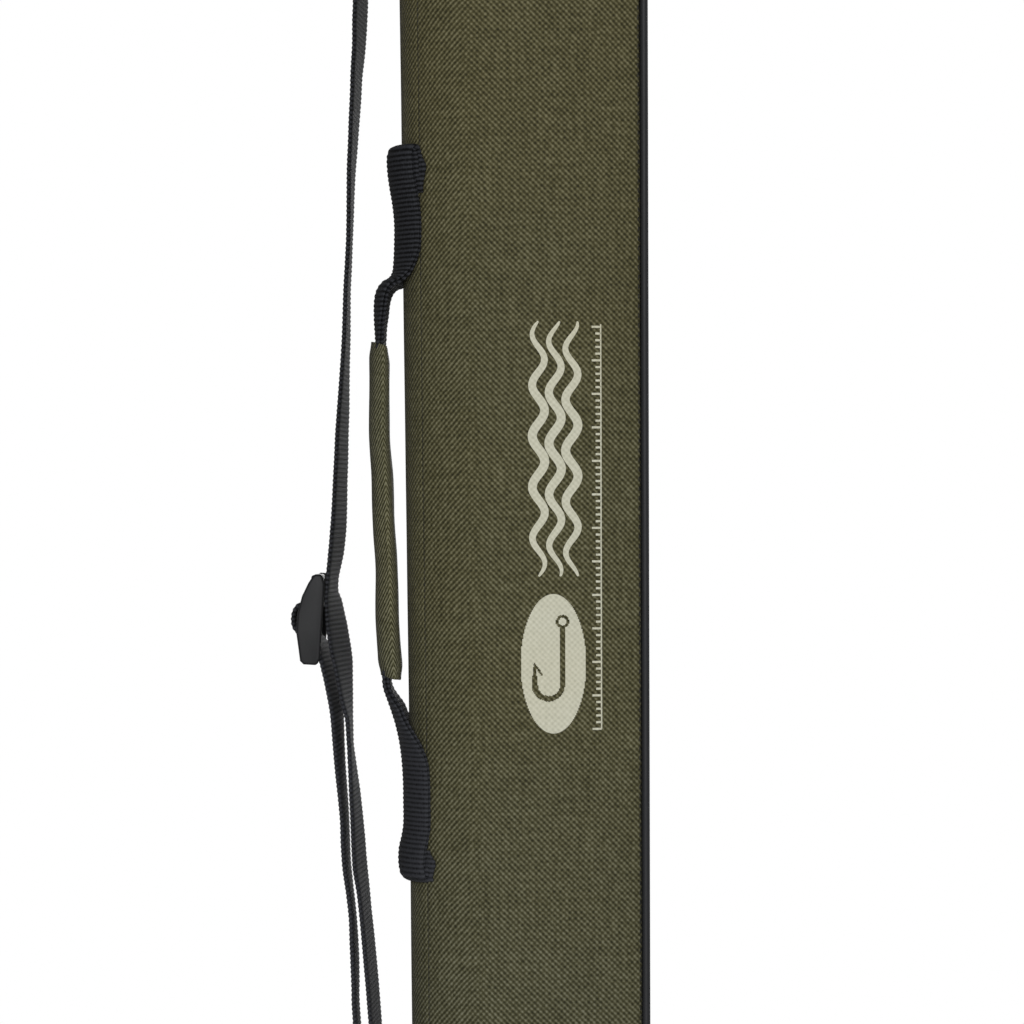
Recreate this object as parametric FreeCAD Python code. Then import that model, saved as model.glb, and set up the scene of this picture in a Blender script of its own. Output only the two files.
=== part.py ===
"""Rod case: a padded clamshell fishing-rod case that stands on its end.

Millimetres, +Z up along the case, origin at the middle of the base face.
+X is the zip side, -X the spine side (handle and shoulder strap), -Y the lid.
Every cross-section is one outline scaled about the zip plane, so the case
is a little wider at the top.  On that outline u is the distance from the
zip plane and v the distance from the middle plane of the case.
"""
import FreeCAD, Part
import math
import os

# Case
CASE_LENGTH = 1300.0
TAPER = 1.07e-4  # growth of the section per mm of height
UNIT_WIDTH = 90.1  # zip plane to spine, at mid height
SPINE_R = 26.7
SHOULDER_R = 44.8
FACE_R = 158.0
ARC_SHIFT = (SHOULDER_R - SPINE_R) * math.sqrt(0.5)  # the two arcs meet tangent at 45 degrees
SPINE_U = UNIT_WIDTH - SPINE_R
PEAK_U = SPINE_U - ARC_SHIFT
PEAK_V = SHOULDER_R - ARC_SHIFT
CORNER_R = 16.0
FOLD_ANGLE = 52.0  # where the lid folds, on the front shoulder arc
FOLD_GAP = 0.15
BOARD_SETBACK = 3.0

# Layers, as depths below the outer surface
COVER = (0.0, 0.9)
BOARD = (1.0, 3.4)
LINING = (3.5, 4.9)
BAND = (0.0, 2.0)
TAPE = (2.1, 2.9)
CHAIN = (1.1, 3.9)
BEAD_R = 1.5
LID_LIFT = 1.0  # the lid's lower end clears the floor as it opens

# Zip
TAPE_Y = (4.5, 16.0)
CHAIN_Y = (1.4, 4.4)
BAND_Y = 13.5
ZIP_END_X = 6.0
SLIDER_Z = {"upper": 1105.0, "lower": 1090.0}
PULL_LEAN = {"upper": 30.0, "lower": 0.0}  # the upper pull rests on the lower crown
PULL_LENGTH = 32.0

# Webbing and handle
WEB = 1.8
HANDLE_HALF_ANGLE = 46.0
HANDLE_WIDTH = 42.0
GRIP_WIDTH, GRIP_THICK = 32.0, 8.4
GRIP_LINE = [(-58.1, 713.0), (-58.3, 692.0), (-57.1, 647.0), (-55.8, 616.0), (-54.0, 586.0)]

# Shoulder strap
STRAP_WIDTH = 38.0
SWIVEL_UPPER = (-63.0, 981.0)
SWIVEL_LOWER = (-55.5, 320.0)
RING_WIRE = 2.0
RING_HALF = 22.0
RING_DEPTH = 30.0
HOOK_REACH = 25.0  # swivel flange to the middle of the hook's bend
GATE_FOOT = 15.0
UPPER_STRAND = [(-63.6, 925.0), (-64.1, 880.0), (-65.2, 836.0), (-67.5, 799.0), (-69.2, 758.0),
                (-70.4, 723.0), (-71.4, 673.0), (-74.1, 639.0), (-76.3, 616.0)]
LEFT_STRAND = [(-77.4, 606.0), (-76.8, 593.0), (-74.5, 571.0), (-71.7, 540.0), (-69.6, 504.0),
               (-68.0, 470.0), (-64.6, 420.0), (-61.4, 380.0)]
RIGHT_STRAND = [(-74.9, 612.0), (-72.0, 593.0), (-69.8, 571.0), (-67.0, 540.0), (-64.9, 504.0),
                (-61.6, 470.0), (-57.2, 420.0), (-54.4, 380.0)]
ADJUSTER_CENTRE = (-83.2, 610.0)
ADJUSTER_TILT = 3.5
RAIL_X = (-4.6, 4.4)
RAIL_LENGTH = 34.0
RAIL_WIDTH = 3.5
ADJUSTER_BAR = (3.2, 4.4)
TURN_X = (-6.4, 3.2)
TURN_HEIGHT = 8.8

OUTSIDE = 60.0  # further from the middle plane than any part of the case

V = FreeCAD.Vector
Z_AXIS = V(0, 0, 1)
Y_AXIS = V(0, 1, 0)


def scale_at(z):
    return 1.0 + TAPER * (z - CASE_LENGTH / 2)


SEAM_X = UNIT_WIDTH * scale_at(0) / 2


def save(name, shape):
    """Write one node, and say so if its solid is broken."""
    solids = shape.Solids
    if len(solids) != 1 or not shape.isValid():
        print("CHECK", name, "solids", len(solids), "valid", shape.isValid())
    solid = solids[0] if len(solids) == 1 else shape
    solid.exportStep("parts/" + name + ".step")


def fuse(shapes):
    return shapes[0].multiFuse(shapes[1:]).removeSplitter()


def box(x, y, z):
    return Part.makeBox(x[1] - x[0], y[1] - y[0], z[1] - z[0], V(x[0], y[0], z[0]))


def polygon(points, z):
    corners = [V(x, y, z) for x, y in points]
    return Part.makePolygon(corners + corners[:1])


def between(low, high):
    """Straight-sided solid between two matching closed wires."""
    return Part.makeLoft([low, high], True, True)


# ---------------------------------------------------------------- case section

def place(u, v, k):
    return V(SEAM_X - u * k, v * k, 0)


def on_arc(centre_u, centre_v, radius, degrees, side, k):
    a = math.radians(degrees)
    return V(SEAM_X - centre_u * k - radius * math.cos(a), side * (centre_v * k + radius * math.sin(a)), 0)


def face_v(u, depth, k):
    """Distance from the middle plane to the face, u mm from the zip plane."""
    run = PEAK_U * k - u
    return (PEAK_V - FACE_R) * k + math.sqrt((FACE_R * k - depth) ** 2 - run ** 2)


def section(depth, u_end, z):
    """Closed outline, depth mm below the outer surface, ending at u_end."""
    k = scale_at(z)
    spine = SPINE_R * k - depth
    shoulder = SHOULDER_R * k - depth
    shoulder_v = PEAK_V - SHOULDER_R
    face_end = face_v(u_end, depth, k)
    mid_u = (PEAK_U * k + u_end) / 2
    edges = [Part.Arc(on_arc(SPINE_U, 0, spine, 45, -1, k), on_arc(SPINE_U, 0, spine, 0, 1, k),
                      on_arc(SPINE_U, 0, spine, 45, 1, k)).toShape()]
    for side in (1, -1):
        run = [Part.Arc(on_arc(PEAK_U, shoulder_v, shoulder, 45, side, k),
                        on_arc(PEAK_U, shoulder_v, shoulder, 70, side, k),
                        on_arc(PEAK_U, shoulder_v, shoulder, 90, side, k)).toShape(),
               Part.Arc(on_arc(PEAK_U, shoulder_v, shoulder, 90, side, k),
                        V(SEAM_X - mid_u, side * face_v(mid_u, depth, k), 0),
                        V(SEAM_X - u_end, side * face_end, 0)).toShape()]
        if side == 1:
            edges += run
            edges.append(Part.makeLine(V(SEAM_X - u_end, face_end, 0), V(SEAM_X - u_end, -face_end, 0)))
        else:
            edges += reversed(run)
    wire = Part.Wire(Part.__sortEdges__(edges))
    wire.translate(V(0, 0, z))
    return wire


def body_at(depth, u_end=0.0, z=(0.0, CASE_LENGTH)):
    """The solid inside the surface that lies depth mm below the outside."""
    return between(section(depth, u_end, z[0]), section(depth, u_end, z[1]))


def rounded_side(inset, z_low, z_high, radius=CORNER_R):
    """Side view of the case: square at the spine, rounded at the zip side."""
    x_far, x_near = -120.0, SEAM_X - inset
    low, high = z_low, z_high
    q = radius * math.sqrt(0.5)
    edges = [Part.makeLine(V(x_far, 0, low), V(x_near - radius, 0, low)),
             Part.Arc(V(x_near - radius, 0, low), V(x_near - radius + q, 0, low + radius - q),
                      V(x_near, 0, low + radius)).toShape(),
             Part.makeLine(V(x_near, 0, low + radius), V(x_near, 0, high - radius)),
             Part.Arc(V(x_near, 0, high - radius), V(x_near - radius + q, 0, high - radius + q),
                      V(x_near - radius, 0, high)).toShape(),
             Part.makeLine(V(x_near - radius, 0, high), V(x_far, 0, high)),
             Part.makeLine(V(x_far, 0, high), V(x_far, 0, low))]
    return Part.Face(Part.Wire(edges))


def slab(face, y):
    moved = face.copy()
    moved.translate(V(0, y[0], 0))
    return moved.extrude(V(0, y[1] - y[0], 0))


def ray(degrees, side, shift=0.0):
    """Two points of a cut through the shoulder arc at an angle, moved along the arc by shift mm."""
    a = math.radians(degrees) + shift / SHOULDER_R
    cu, cv = PEAK_U, PEAK_V - SHOULDER_R
    reach = SHOULDER_R + 12
    inner = SHOULDER_R - 12
    return [(cu + inner * math.cos(a), side * (cv + inner * math.sin(a))),
            (cu + reach * math.cos(a), side * (cv + reach * math.sin(a)))]


def wedge(points):
    """Region whose outline is given in u, v and scaled with the section."""
    wires = []
    for height in (0.0, CASE_LENGTH):
        k = scale_at(height)
        corners = [place(u, v, k) for u, v in points]
        wires.append(polygon([(p.x, p.y) for p in corners], height))
    return between(wires[0], wires[1])


def panel(layer, z, region, inset):
    """One layer of the shell, cut to a region and to the rounded side view."""
    outer = body_at(layer[0], -8.0)
    inner = body_at(layer[1], -16.0)
    skin = outer.cut(inner)
    side = slab(rounded_side(inset, z[0], z[1]), (-OUTSIDE, OUTSIDE))
    return skin.common(side).common(region)


def spine_region(front_shift):
    """From the fold round the spine to the rear zip corner, as one outline."""
    inner, outer = ray(FOLD_ANGLE, -1, front_shift)
    return wedge([inner, outer, (110.0, -50.0), (110.0, OUTSIDE), (-12.0, OUTSIDE), (-12.0, 4.0), (60.0, 4.0)])


def lid_region(shift):
    inner, outer = ray(FOLD_ANGLE, -1, shift)
    return wedge([inner, outer, (70.0, -OUTSIDE), (-12.0, -OUTSIDE), (-12.0, -4.0)])


ROOT_Z = (0.0, CASE_LENGTH)
LID_Z = (LID_LIFT, CASE_LENGTH)


def inside(z, margin):
    return (z[0] + margin, z[1] - margin)


def make_covers():
    above_bead = 2 * BEAD_R + 0.15
    beside_bead = BEAD_R + 0.15
    rear = panel(COVER, inside(ROOT_Z, above_bead), spine_region(-FOLD_GAP), beside_bead)
    save("rear_cover", rear)
    lid = panel(COVER, inside(LID_Z, above_bead), lid_region(FOLD_GAP), beside_bead)
    save("lid_cover", lid)


def make_linings():
    margin = TAPE[1] + 0.2
    save("rear_lining", panel(LINING, inside(ROOT_Z, margin + 1), spine_region(-BOARD_SETBACK), margin + 1))
    save("lid_lining", panel(LINING, inside(LID_Z, margin + 1), lid_region(BOARD_SETBACK), margin + 1))


def make_boards():
    margin = TAPE[1] + 0.2
    joint = 0.15
    fold = ray(FOLD_ANGLE, -1, -BOARD_SETBACK)
    rear_corner = ray(45.0, 1, -joint)
    spine = wedge([fold[0], fold[1], (110.0, -50.0), (110.0, OUTSIDE), rear_corner[1], rear_corner[0]])
    board = panel(BOARD, inside(ROOT_Z, margin), spine, margin)
    for name, y in (("front", (-OUTSIDE, 0)), ("back", (0, OUTSIDE))):
        save("spine_board_" + name, board.common(box((-120, 80), y, (-1, CASE_LENGTH + 1))))
    for name, side, start, z in (("rear", 1, ray(45.0, 1, joint), ROOT_Z),
                                 ("lid", -1, ray(FOLD_ANGLE, -1, BOARD_SETBACK), LID_Z)):
        middle = PEAK_U + joint
        shoulder = wedge([start[0], start[1], (80.0, side * OUTSIDE), (middle, side * OUTSIDE), (middle, side * 12.0)])
        save(name + "_shoulder_board", panel(BOARD, inside(z, margin), shoulder, margin))
        middle = PEAK_U - joint
        face = wedge([(middle, side * 12.0), (middle, side * OUTSIDE), (-12.0, side * OUTSIDE), (-12.0, side * 8.0)])
        save(name + "_face_board", panel(BOARD, inside(z, margin), face, margin))


# ---------------------------------------------------------------- zip side and ends

def u_ribbon(depths, z, y):
    outer = slab(rounded_side(depths[0], z[0] + depths[0], z[1] - depths[0], CORNER_R - depths[0]), y)
    inner = slab(rounded_side(depths[1], z[0] + depths[1], z[1] - depths[1], CORNER_R - depths[1]),
                 (y[0] - 1, y[1] + 1))
    return outer.cut(inner)


def fold_point(z, outside=0.0):
    """The fold line's point at a height, moved outside the surface."""
    k = scale_at(z)
    return on_arc(PEAK_U, PEAK_V - SHOULDER_R, SHOULDER_R * k + outside, FOLD_ANGLE, -1, k)


def plan_region(side):
    """Which part of the end walls belongs to the rear half (1) or the lid (-1)."""
    wires = []
    gap = 0.2 * side
    for z in (0.0, CASE_LENGTH):
        f = fold_point(z, 20.0)
        m = fold_point(z)
        near_zip = [(ZIP_END_X, gap), (ZIP_END_X, side * BAND_Y), (60, side * BAND_Y), (60, side * OUTSIDE)]
        if side == 1:
            far = [(-90, OUTSIDE), (-90, -OUTSIDE), (f.x - 2, f.y)]
        else:
            far = [(f.x, f.y - 20)]
        wires.append(polygon([(m.x, m.y + gap)] + near_zip + far, z))
    return between(wires[0], wires[1])


def save_lengths(name, shape, z):
    """Write a U-shaped run as its foot, its side and its head, which meet past the corners."""
    straight = (z[0] + CORNER_R + 1, z[1] - CORNER_R - 1)
    cuts = [z[0] - 1, straight[0], straight[1], z[1] + 1]
    for part, low, high in zip(("foot", "side", "head"), cuts, cuts[1:]):
        save(name + "_" + part, shape.common(box((-120, 80), (-OUTSIDE, OUTSIDE), (low, high))))


def make_bands():
    shell = body_at(0.2 + BEAD_R)
    for name, side, z in (("rear", 1, ROOT_Z), ("lid", -1, LID_Z)):
        ribbon = u_ribbon(BAND, z, (-OUTSIDE, OUTSIDE))
        save_lengths(name + "_band", ribbon.common(shell).common(plan_region(side)), z)


def along_zip(depths, y, side, z, x_start):
    y_range = (y[0], y[1]) if side == 1 else (-y[1], -y[0])
    keep = box((x_start, 80), (-40, 40), (-10, CASE_LENGTH + 10))
    return u_ribbon(depths, z, y_range).common(keep)


def make_zip_runs():
    for name, side, z in (("rear", 1, ROOT_Z), ("lid", -1, LID_Z)):
        save(name + "_zip_tape", along_zip(TAPE, TAPE_Y, side, z, ZIP_END_X))
        save_lengths(name + "_zip_chain", along_zip(CHAIN, CHAIN_Y, side, z, ZIP_END_X + 3.2), z)
    for name, z in (("lower", CHAIN[0]), ("upper", CASE_LENGTH - CHAIN[1])):
        stop = box((ZIP_END_X + 0.3, ZIP_END_X + 2.9), (0.6, 4.4), (z, z + CHAIN[1] - CHAIN[0]))
        save("zip_stop_" + name, stop)


def pipe(edges, radius):
    """Round bar along tangent lines and arcs, one piece per edge."""
    pieces = []
    for edge in edges:
        start = edge.valueAt(edge.FirstParameter)
        direction = edge.tangentAt(edge.FirstParameter)
        ring = Part.Wire(Part.makeCircle(radius, start, direction))
        pieces.append(Part.Wire(edge).makePipeShell([ring], True, False))
    return pieces


def end_outline(z_edge, z_bead, side, end_shift):
    """Bead path round one end, from near the fold to where the corner bend starts."""
    k = scale_at(z_edge)
    cv = PEAK_V - SHOULDER_R
    shoulder = SHOULDER_R * k
    edges = []
    shift = math.degrees(end_shift / shoulder)
    if side == 1:
        edges.append(Part.Arc(on_arc(PEAK_U, cv, shoulder, FOLD_ANGLE - shift, -1, k),
                              on_arc(PEAK_U, cv, shoulder, (FOLD_ANGLE - shift + 45) / 2, -1, k),
                              on_arc(PEAK_U, cv, shoulder, 45, -1, k)).toShape())
        edges.append(Part.Arc(on_arc(SPINE_U, 0, SPINE_R * k, 45, -1, k),
                              on_arc(SPINE_U, 0, SPINE_R * k, 0, 1, k),
                              on_arc(SPINE_U, 0, SPINE_R * k, 45, 1, k)).toShape())
    first = 45 if side == 1 else FOLD_ANGLE + shift
    edges.append(Part.Arc(on_arc(PEAK_U, cv, shoulder, first, side, k),
                          on_arc(PEAK_U, cv, shoulder, (first + 90) / 2, side, k),
                          on_arc(PEAK_U, cv, shoulder, 90, side, k)).toShape())
    mid_u = (PEAK_U * k + CORNER_R) / 2
    corner = V(SEAM_X - CORNER_R, side * face_v(CORNER_R, 0, k), 0)
    edges.append(Part.Arc(on_arc(PEAK_U, cv, shoulder, 90, side, k),
                          V(SEAM_X - mid_u, side * face_v(mid_u, 0, k), 0), corner).toShape())
    for edge in edges:
        edge.translate(V(0, 0, z_bead))
    return edges, V(corner.x, corner.y, z_bead)


def make_beads():
    for name, side, z in (("rear", 1, ROOT_Z), ("lid", -1, LID_Z)):
        runs = []
        corners = []
        for z_edge, inward in ((z[0], 1), (z[1], -1)):
            z_bead = z_edge + inward * BEAD_R
            edges, start = end_outline(z_edge, z_bead, side, 4.0)
            z_side = z_bead + inward * CORNER_R
            end = V(SEAM_X, side * face_v(0, 0, scale_at(z_side)), z_side)
            runs.append(edges + [Part.Arc(start, corner_middle(start, end, inward), end).toShape()])
            corners.append(end)
        line = Part.makeLine(corners[0], corners[1])
        path = Part.Wire(Part.__sortEdges__(runs[0] + [line] + runs[1][::-1]))
        first = path.OrderedEdges[0]
        start = path.OrderedVertexes[0].Point
        ring = Part.Wire(Part.makeCircle(BEAD_R, start, first.tangentAt(first.FirstParameter)))
        save(name + "_piping", path.makePipeShell([ring], True, False))


def corner_middle(start, end, inward):
    """Middle point of the quarter bend that joins an end outline to the side bead."""
    flat = V(end.x - start.x, end.y - start.y, 0)
    reach = math.sqrt(0.5)
    return V(start.x + flat.x * reach, start.y + flat.y * reach,
             start.z + (end.z - start.z) * (1 - reach))


def make_sliders():
    for name, z in SLIDER_Z.items():
        save("zip_slider_" + name, zip_slider(z))
        save("zip_pull_" + name, zip_pull(z, PULL_LEAN[name]))


def depth_box(depths, y, z):
    return box((SEAM_X - depths[1], SEAM_X - depths[0]), y, z)


def zip_slider(z):
    span = (z - 7, z + 7)
    pieces = [depth_box((-0.6, 0.8), (-6, 6), span), depth_box((4.2, 5.4), (-6, 6), span),
              depth_box((0.0, 5.0), (-1.1, 1.1), (z - 3, z + 3))]
    for side in (1, -1):
        lip = (4.9, 6.0) if side == 1 else (-6.0, -4.9)
        pieces.append(depth_box((0.0, 1.85), lip, span))
        pieces.append(depth_box((3.15, 5.0), lip, span))
    crown = depth_box((-3.9, -0.3), (-1.6, 1.6), (z - 5.5, z + 5.5))
    hole = depth_box((-2.9, -0.6), (-2, 2), (z - 4.3, z + 4.3))
    return fuse(pieces + [crown.cut(hole)])


def pull_bar(z):
    """Where the pull's cross-bar lies in the crown."""
    return V(SEAM_X + 1.75, 0, z - 3.0)


def zip_pull(z, lean):
    pivot = pull_bar(z)
    bar = Part.makeCylinder(0.8, 7.5, pivot + V(0, -3.75, 0), Y_AXIS)
    plate = box((pivot.x - 0.7, pivot.x + 0.7), (-3.75, 3.75), (pivot.z - PULL_LENGTH, pivot.z + 0.7))
    window = box((pivot.x - 2, pivot.x + 2), (-2.2, 2.2), (pivot.z - 8.0, pivot.z + 2))
    grip_hole = box((pivot.x - 2, pivot.x + 2), (-1.6, 1.6), (pivot.z - PULL_LENGTH + 3, pivot.z - 20))
    whole = fuse([bar, plate.cut(window).cut(grip_hole)])
    whole.rotate(pivot, Y_AXIS, -lean)
    return whole


# ---------------------------------------------------------------- inside the case

def make_interior():
    hollow = body_at(LINING[1] + 0.1, LINING[1], (3.2, CASE_LENGTH - 3.2))
    for number, z in enumerate((250.0, 650.0, 1050.0), 1):
        centre = V(-1.0, 48.0, 0)
        ring = Part.makeCylinder(44.0, 25, centre + V(0, 0, z - 12.5)).cut(
            Part.makeCylinder(42.6, 25, centre + V(0, 0, z - 12.5)))
        near = box((-45, SEAM_X - 7), (2, 40), (z - 20, z + 20))
        save("rod_band_%d" % number, ring.common(near).common(hollow))
    for name, z in (("butt_pad", (4.3, 28.0)), ("tip_pad", (CASE_LENGTH - 28, CASE_LENGTH - 4.3))):
        block = box((-60, SEAM_X - CORNER_R - 1), (5, 40), z)
        save(name, block.common(hollow))


# ---------------------------------------------------------------- carry handle

def spine_x(z):
    return SEAM_X - UNIT_WIDTH * scale_at(z)


def spine_patch(depths, half_angle, z):
    """Webbing laid round the spine, between two heights above its surface."""
    wires = []
    for height in z:
        k = scale_at(height)
        radii = [SPINE_R * k + d for d in depths]
        a = half_angle
        inner = [on_arc(SPINE_U, 0, radii[0], t, 1, k) for t in (-a, 0, a)]
        outer = [on_arc(SPINE_U, 0, radii[1], t, 1, k) for t in (-a, 0, a)]
        edges = [Part.Arc(*inner).toShape(), Part.makeLine(inner[2], outer[2]),
                 Part.Arc(*outer).toShape(), Part.makeLine(outer[0], inner[0])]
        wire = Part.Wire(Part.__sortEdges__(edges))
        wire.translate(V(0, 0, height))
        wires.append(wire)
    return between(wires[0], wires[1])


def ribbon(points, thickness, width):
    """Flat webbing whose edge-on line runs smoothly through points (x, z)."""
    line = Part.BSplineCurve()
    line.interpolate([V(x, 0, z) for x, z in points])
    count = 3 * len(points)
    low, high = line.FirstParameter, line.LastParameter
    sides = []
    for sign in (1, -1):
        shifted = []
        for i in range(count + 1):
            t = low + (high - low) * i / count
            tangent = line.tangent(t)[0]
            normal = V(tangent.z, 0, -tangent.x)
            shifted.append(line.value(t) + normal * (sign * thickness / 2))
        side = Part.BSplineCurve()
        side.interpolate(shifted)
        sides.append((side.toShape(), shifted[0], shifted[-1]))
    (a, a0, a1), (b, b0, b1) = sides
    wire = Part.Wire(Part.__sortEdges__([a, Part.makeLine(a1, b1), b, Part.makeLine(b0, a0)]))
    face = Part.Face(wire)
    face.translate(V(0, -width / 2, 0))
    return face.extrude(V(0, width, 0))


def make_handle_anchors():
    upper = spine_patch((0.1, 0.1 + WEB), HANDLE_HALF_ANGLE, (740, 785))
    fold = spine_patch((0.1, 0.1 + 2 * WEB), HANDLE_HALF_ANGLE, (771, 787))
    x = spine_x(740) - 1.0
    tongue = ribbon([(x, 745), (x - 0.1, 741), (x - 1.2, 737), (x - 3.2, 733.5)], WEB, HANDLE_WIDTH)
    save("handle_anchor_upper", fuse([upper, fold, tongue]))
    lower = spine_patch((0.1, 0.1 + WEB), HANDLE_HALF_ANGLE, (512, 552))
    fold = spine_patch((0.1, 0.1 + 2 * WEB), HANDLE_HALF_ANGLE, (511, 524))
    x = spine_x(552) - 1.0
    tongue = ribbon([(x, 549), (x - 0.5, 556), (x - 1.8, 564), (x - 3.4, 571.5)], WEB, HANDLE_WIDTH)
    save("handle_anchor_lower", fuse([lower, fold, tongue]))


def stadium(x, z, thickness, width):
    r = thickness / 2
    flat = width / 2 - r
    edges = []
    for side in (1, -1):
        edges.append(Part.Arc(V(x - r, side * flat, z), V(x, side * (flat + r), z),
                              V(x + r, side * flat, z)).toShape())
        edges.append(Part.makeLine(V(x + side * r, flat, z), V(x + side * r, -flat, z)))
    return Part.Wire(Part.__sortEdges__(edges))


def grip_loft(thickness, width):
    return Part.makeLoft([stadium(x, z, thickness, width) for x, z in GRIP_LINE], True, False)


def make_handle():
    x = spine_x(740) - 1.0
    top = GRIP_LINE[0]
    save("handle_webbing_upper",
         ribbon([(x - 4.3, 732.0), (x - 6.2, 729.0), (x - 8.2, 723.0), (top[0], 713.4)], WEB, HANDLE_WIDTH))
    x = spine_x(552) - 1.0
    foot = GRIP_LINE[-1]
    save("handle_webbing_lower",
         ribbon([(x - 3.6, 572.3), (x - 4.4, 576.0), (foot[0] + 0.2, 585.6)], WEB, HANDLE_WIDTH))
    core = grip_loft(2 * WEB, GRIP_WIDTH - 8)
    save("handle_grip", grip_loft(GRIP_THICK, GRIP_WIDTH).cut(grip_loft(2 * WEB + 0.2, GRIP_WIDTH - 7.8)))
    save("handle_core", core)


# ---------------------------------------------------------------- shoulder strap

def swivel_frame(end):
    """Placement whose z runs from the swivel towards its ring, x in the XZ plane."""
    upper = V(SWIVEL_UPPER[0], 0, SWIVEL_UPPER[1])
    lower = V(SWIVEL_LOWER[0], 0, SWIVEL_LOWER[1])
    up = (upper - lower).normalize()
    if end == "upper":
        axis, base = up, upper
    else:
        axis, base = up * -1, lower
    side = Y_AXIS.cross(axis)
    return FreeCAD.Placement(base, FreeCAD.Rotation(side, Y_AXIS, axis, "ZXY"))


def placed(shape, placement):
    moved = shape.copy()
    moved.Placement = placement.multiply(moved.Placement)
    return moved


def snap_hook():
    """Body, shoulder and bend of a plastic snap hook, on the swivel's axis."""
    body = Part.makeCylinder(6.0, 12.0, V(0, 0, 1.5))
    body = body.cut(Part.makeCylinder(2.56, 6, V(0, 0, 0))).cut(Part.makeCylinder(4.5, 5.0, V(0, 0, 5.0)))
    shoulder = box((-9, 9), (-3, 3), (11.5, 14.0))
    shank = Part.makeCylinder(2.0, HOOK_REACH - 12.5, V(-7, 0, 12.5))
    bend = Part.Arc(V(-7, 0, HOOK_REACH), V(0, 0, HOOK_REACH + 7), V(7, 0, HOOK_REACH)).toShape()
    tip = Part.makeCylinder(2.0, 3.0, V(7, 0, HOOK_REACH - 3))
    joints = [Part.makeSphere(2.0, V(x, 0, HOOK_REACH)) for x in (-7, 7)]
    return fuse([body, shoulder, shank, tip] + pipe([bend], 2.0) + joints)


def hook_gate():
    """Bar that shuts the hook between its shoulder and its tip, with a thumb ledge."""
    bar = Part.makeCylinder(1.6, HOOK_REACH - 3.3 - GATE_FOOT, V(7, 0, GATE_FOOT))
    ledge = box((7.0, 9.6), (-1.1, 1.1), (GATE_FOOT + 1.2, GATE_FOOT + 2.6))
    return fuse([bar, ledge])


def swivel_eye():
    """Stem held in the hook, and the loop that the webbing goes through."""
    half = STRAP_WIDTH / 2 + 3.2
    stem = Part.makeCylinder(2.5, 12.0, V(0, 0, -5.0))
    head = Part.makeCylinder(4.3, 3.0, V(0, 0, 6.0))
    corners = [V(0, -half, -5), V(0, half, -5), V(0, half, -19), V(0, -half, -19)]
    bars = []
    for a, b in zip(corners, corners[1:] + corners[:1]):
        bars += [Part.makeCylinder(2.0, (b - a).Length, a, b - a), Part.makeSphere(2.0, a)]
    return fuse([stem, head] + bars)


def ring_solid(bar, bow):
    """Rectangular ring: one long bar in the tab, the bow held by the hook."""
    along = (bow - bar).normalize()
    depth = (bow - bar).Length
    r = 5.0
    q = r * (1 - math.sqrt(0.5))
    pieces = []
    for side in (1, -1):
        y = side * RING_HALF
        pieces.append(Part.makeLine(bar, bar + V(0, y - side * r, 0)))
        pieces.append(Part.Arc(bar + V(0, y - side * r, 0), bar + V(0, y - side * q, 0) + along * q,
                               bar + V(0, y, 0) + along * r).toShape())
        pieces.append(Part.makeLine(bar + V(0, y, 0) + along * r, bar + V(0, y, 0) + along * (depth - r)))
        pieces.append(Part.Arc(bar + V(0, y, 0) + along * (depth - r),
                               bar + V(0, y - side * q, 0) + along * (depth - q),
                               bar + V(0, y - side * r, 0) + along * depth).toShape())
        pieces.append(Part.makeLine(bar + V(0, y - side * r, 0) + along * depth, bow))
    return fuse(pipe(pieces, RING_WIRE))


def ring_ends(end):
    """Middle of the ring's bar and of its bow."""
    frame = swivel_frame(end)
    bow = frame.multVec(V(0, 0, HOOK_REACH + 0.8))
    sign = 1 if end == "upper" else -1
    lean = bar_offset(bow, sign)
    return V(bow.x + lean, 0, bow.z + sign * math.sqrt(RING_DEPTH ** 2 - lean ** 2)), bow


def bar_offset(bow, sign):
    """How far the bar lies from the bow towards the spine."""
    z = bow.z + sign * RING_DEPTH
    return spine_x(z) - RING_WIRE - WEB - 0.5 - bow.x


def strap_tab(bar, sign):
    """Webbing loop round the ring's bar, sewn to the spine above or below it."""
    r = RING_WIRE + 0.1
    loop = Part.makeCylinder(r + WEB, STRAP_WIDTH - 4, V(bar.x, -(STRAP_WIDTH - 4) / 2, bar.z), Y_AXIS)
    loop = loop.cut(Part.makeCylinder(r, STRAP_WIDTH, V(bar.x, -STRAP_WIDTH / 2, bar.z), Y_AXIS))
    ends = sorted((bar.z + sign * 8, bar.z + sign * 52))
    patch = spine_patch((0.1, 0.1 + 2 * WEB), 38.0, ends)
    neck = box((bar.x - 0.6, bar.x + 1.4), (-15, 15), sorted((bar.z + sign * (r + 0.6), bar.z + sign * 12)))
    return fuse([loop, patch, neck])


def webbing_loop(end):
    """Webbing round the swivel eye's lower bar."""
    tube = Part.makeCylinder(RING_WIRE + 0.1 + WEB, STRAP_WIDTH, V(0, -STRAP_WIDTH / 2, -19), Y_AXIS)
    hole = Part.makeCylinder(RING_WIRE + 0.1, STRAP_WIDTH + 2, V(0, -STRAP_WIDTH / 2 - 1, -19), Y_AXIS)
    return placed(tube.cut(hole), swivel_frame(end))


def half_space(x, side):
    return box((x, x + 60) if side > 0 else (x - 60, x), (-40, 40), (200, 1100))


def make_strap_hardware():
    for end, sign in (("upper", 1), ("lower", -1)):
        frame = swivel_frame(end)
        save("snap_hook_" + end, placed(snap_hook(), frame))
        save("hook_gate_" + end, placed(hook_gate(), frame))
        save("swivel_eye_" + end, placed(swivel_eye(), frame))
        bar, bow = ring_ends(end)
        save("strap_ring_" + end, ring_solid(bar, bow))
        save("strap_tab_" + end, strap_tab(bar, sign))


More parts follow.
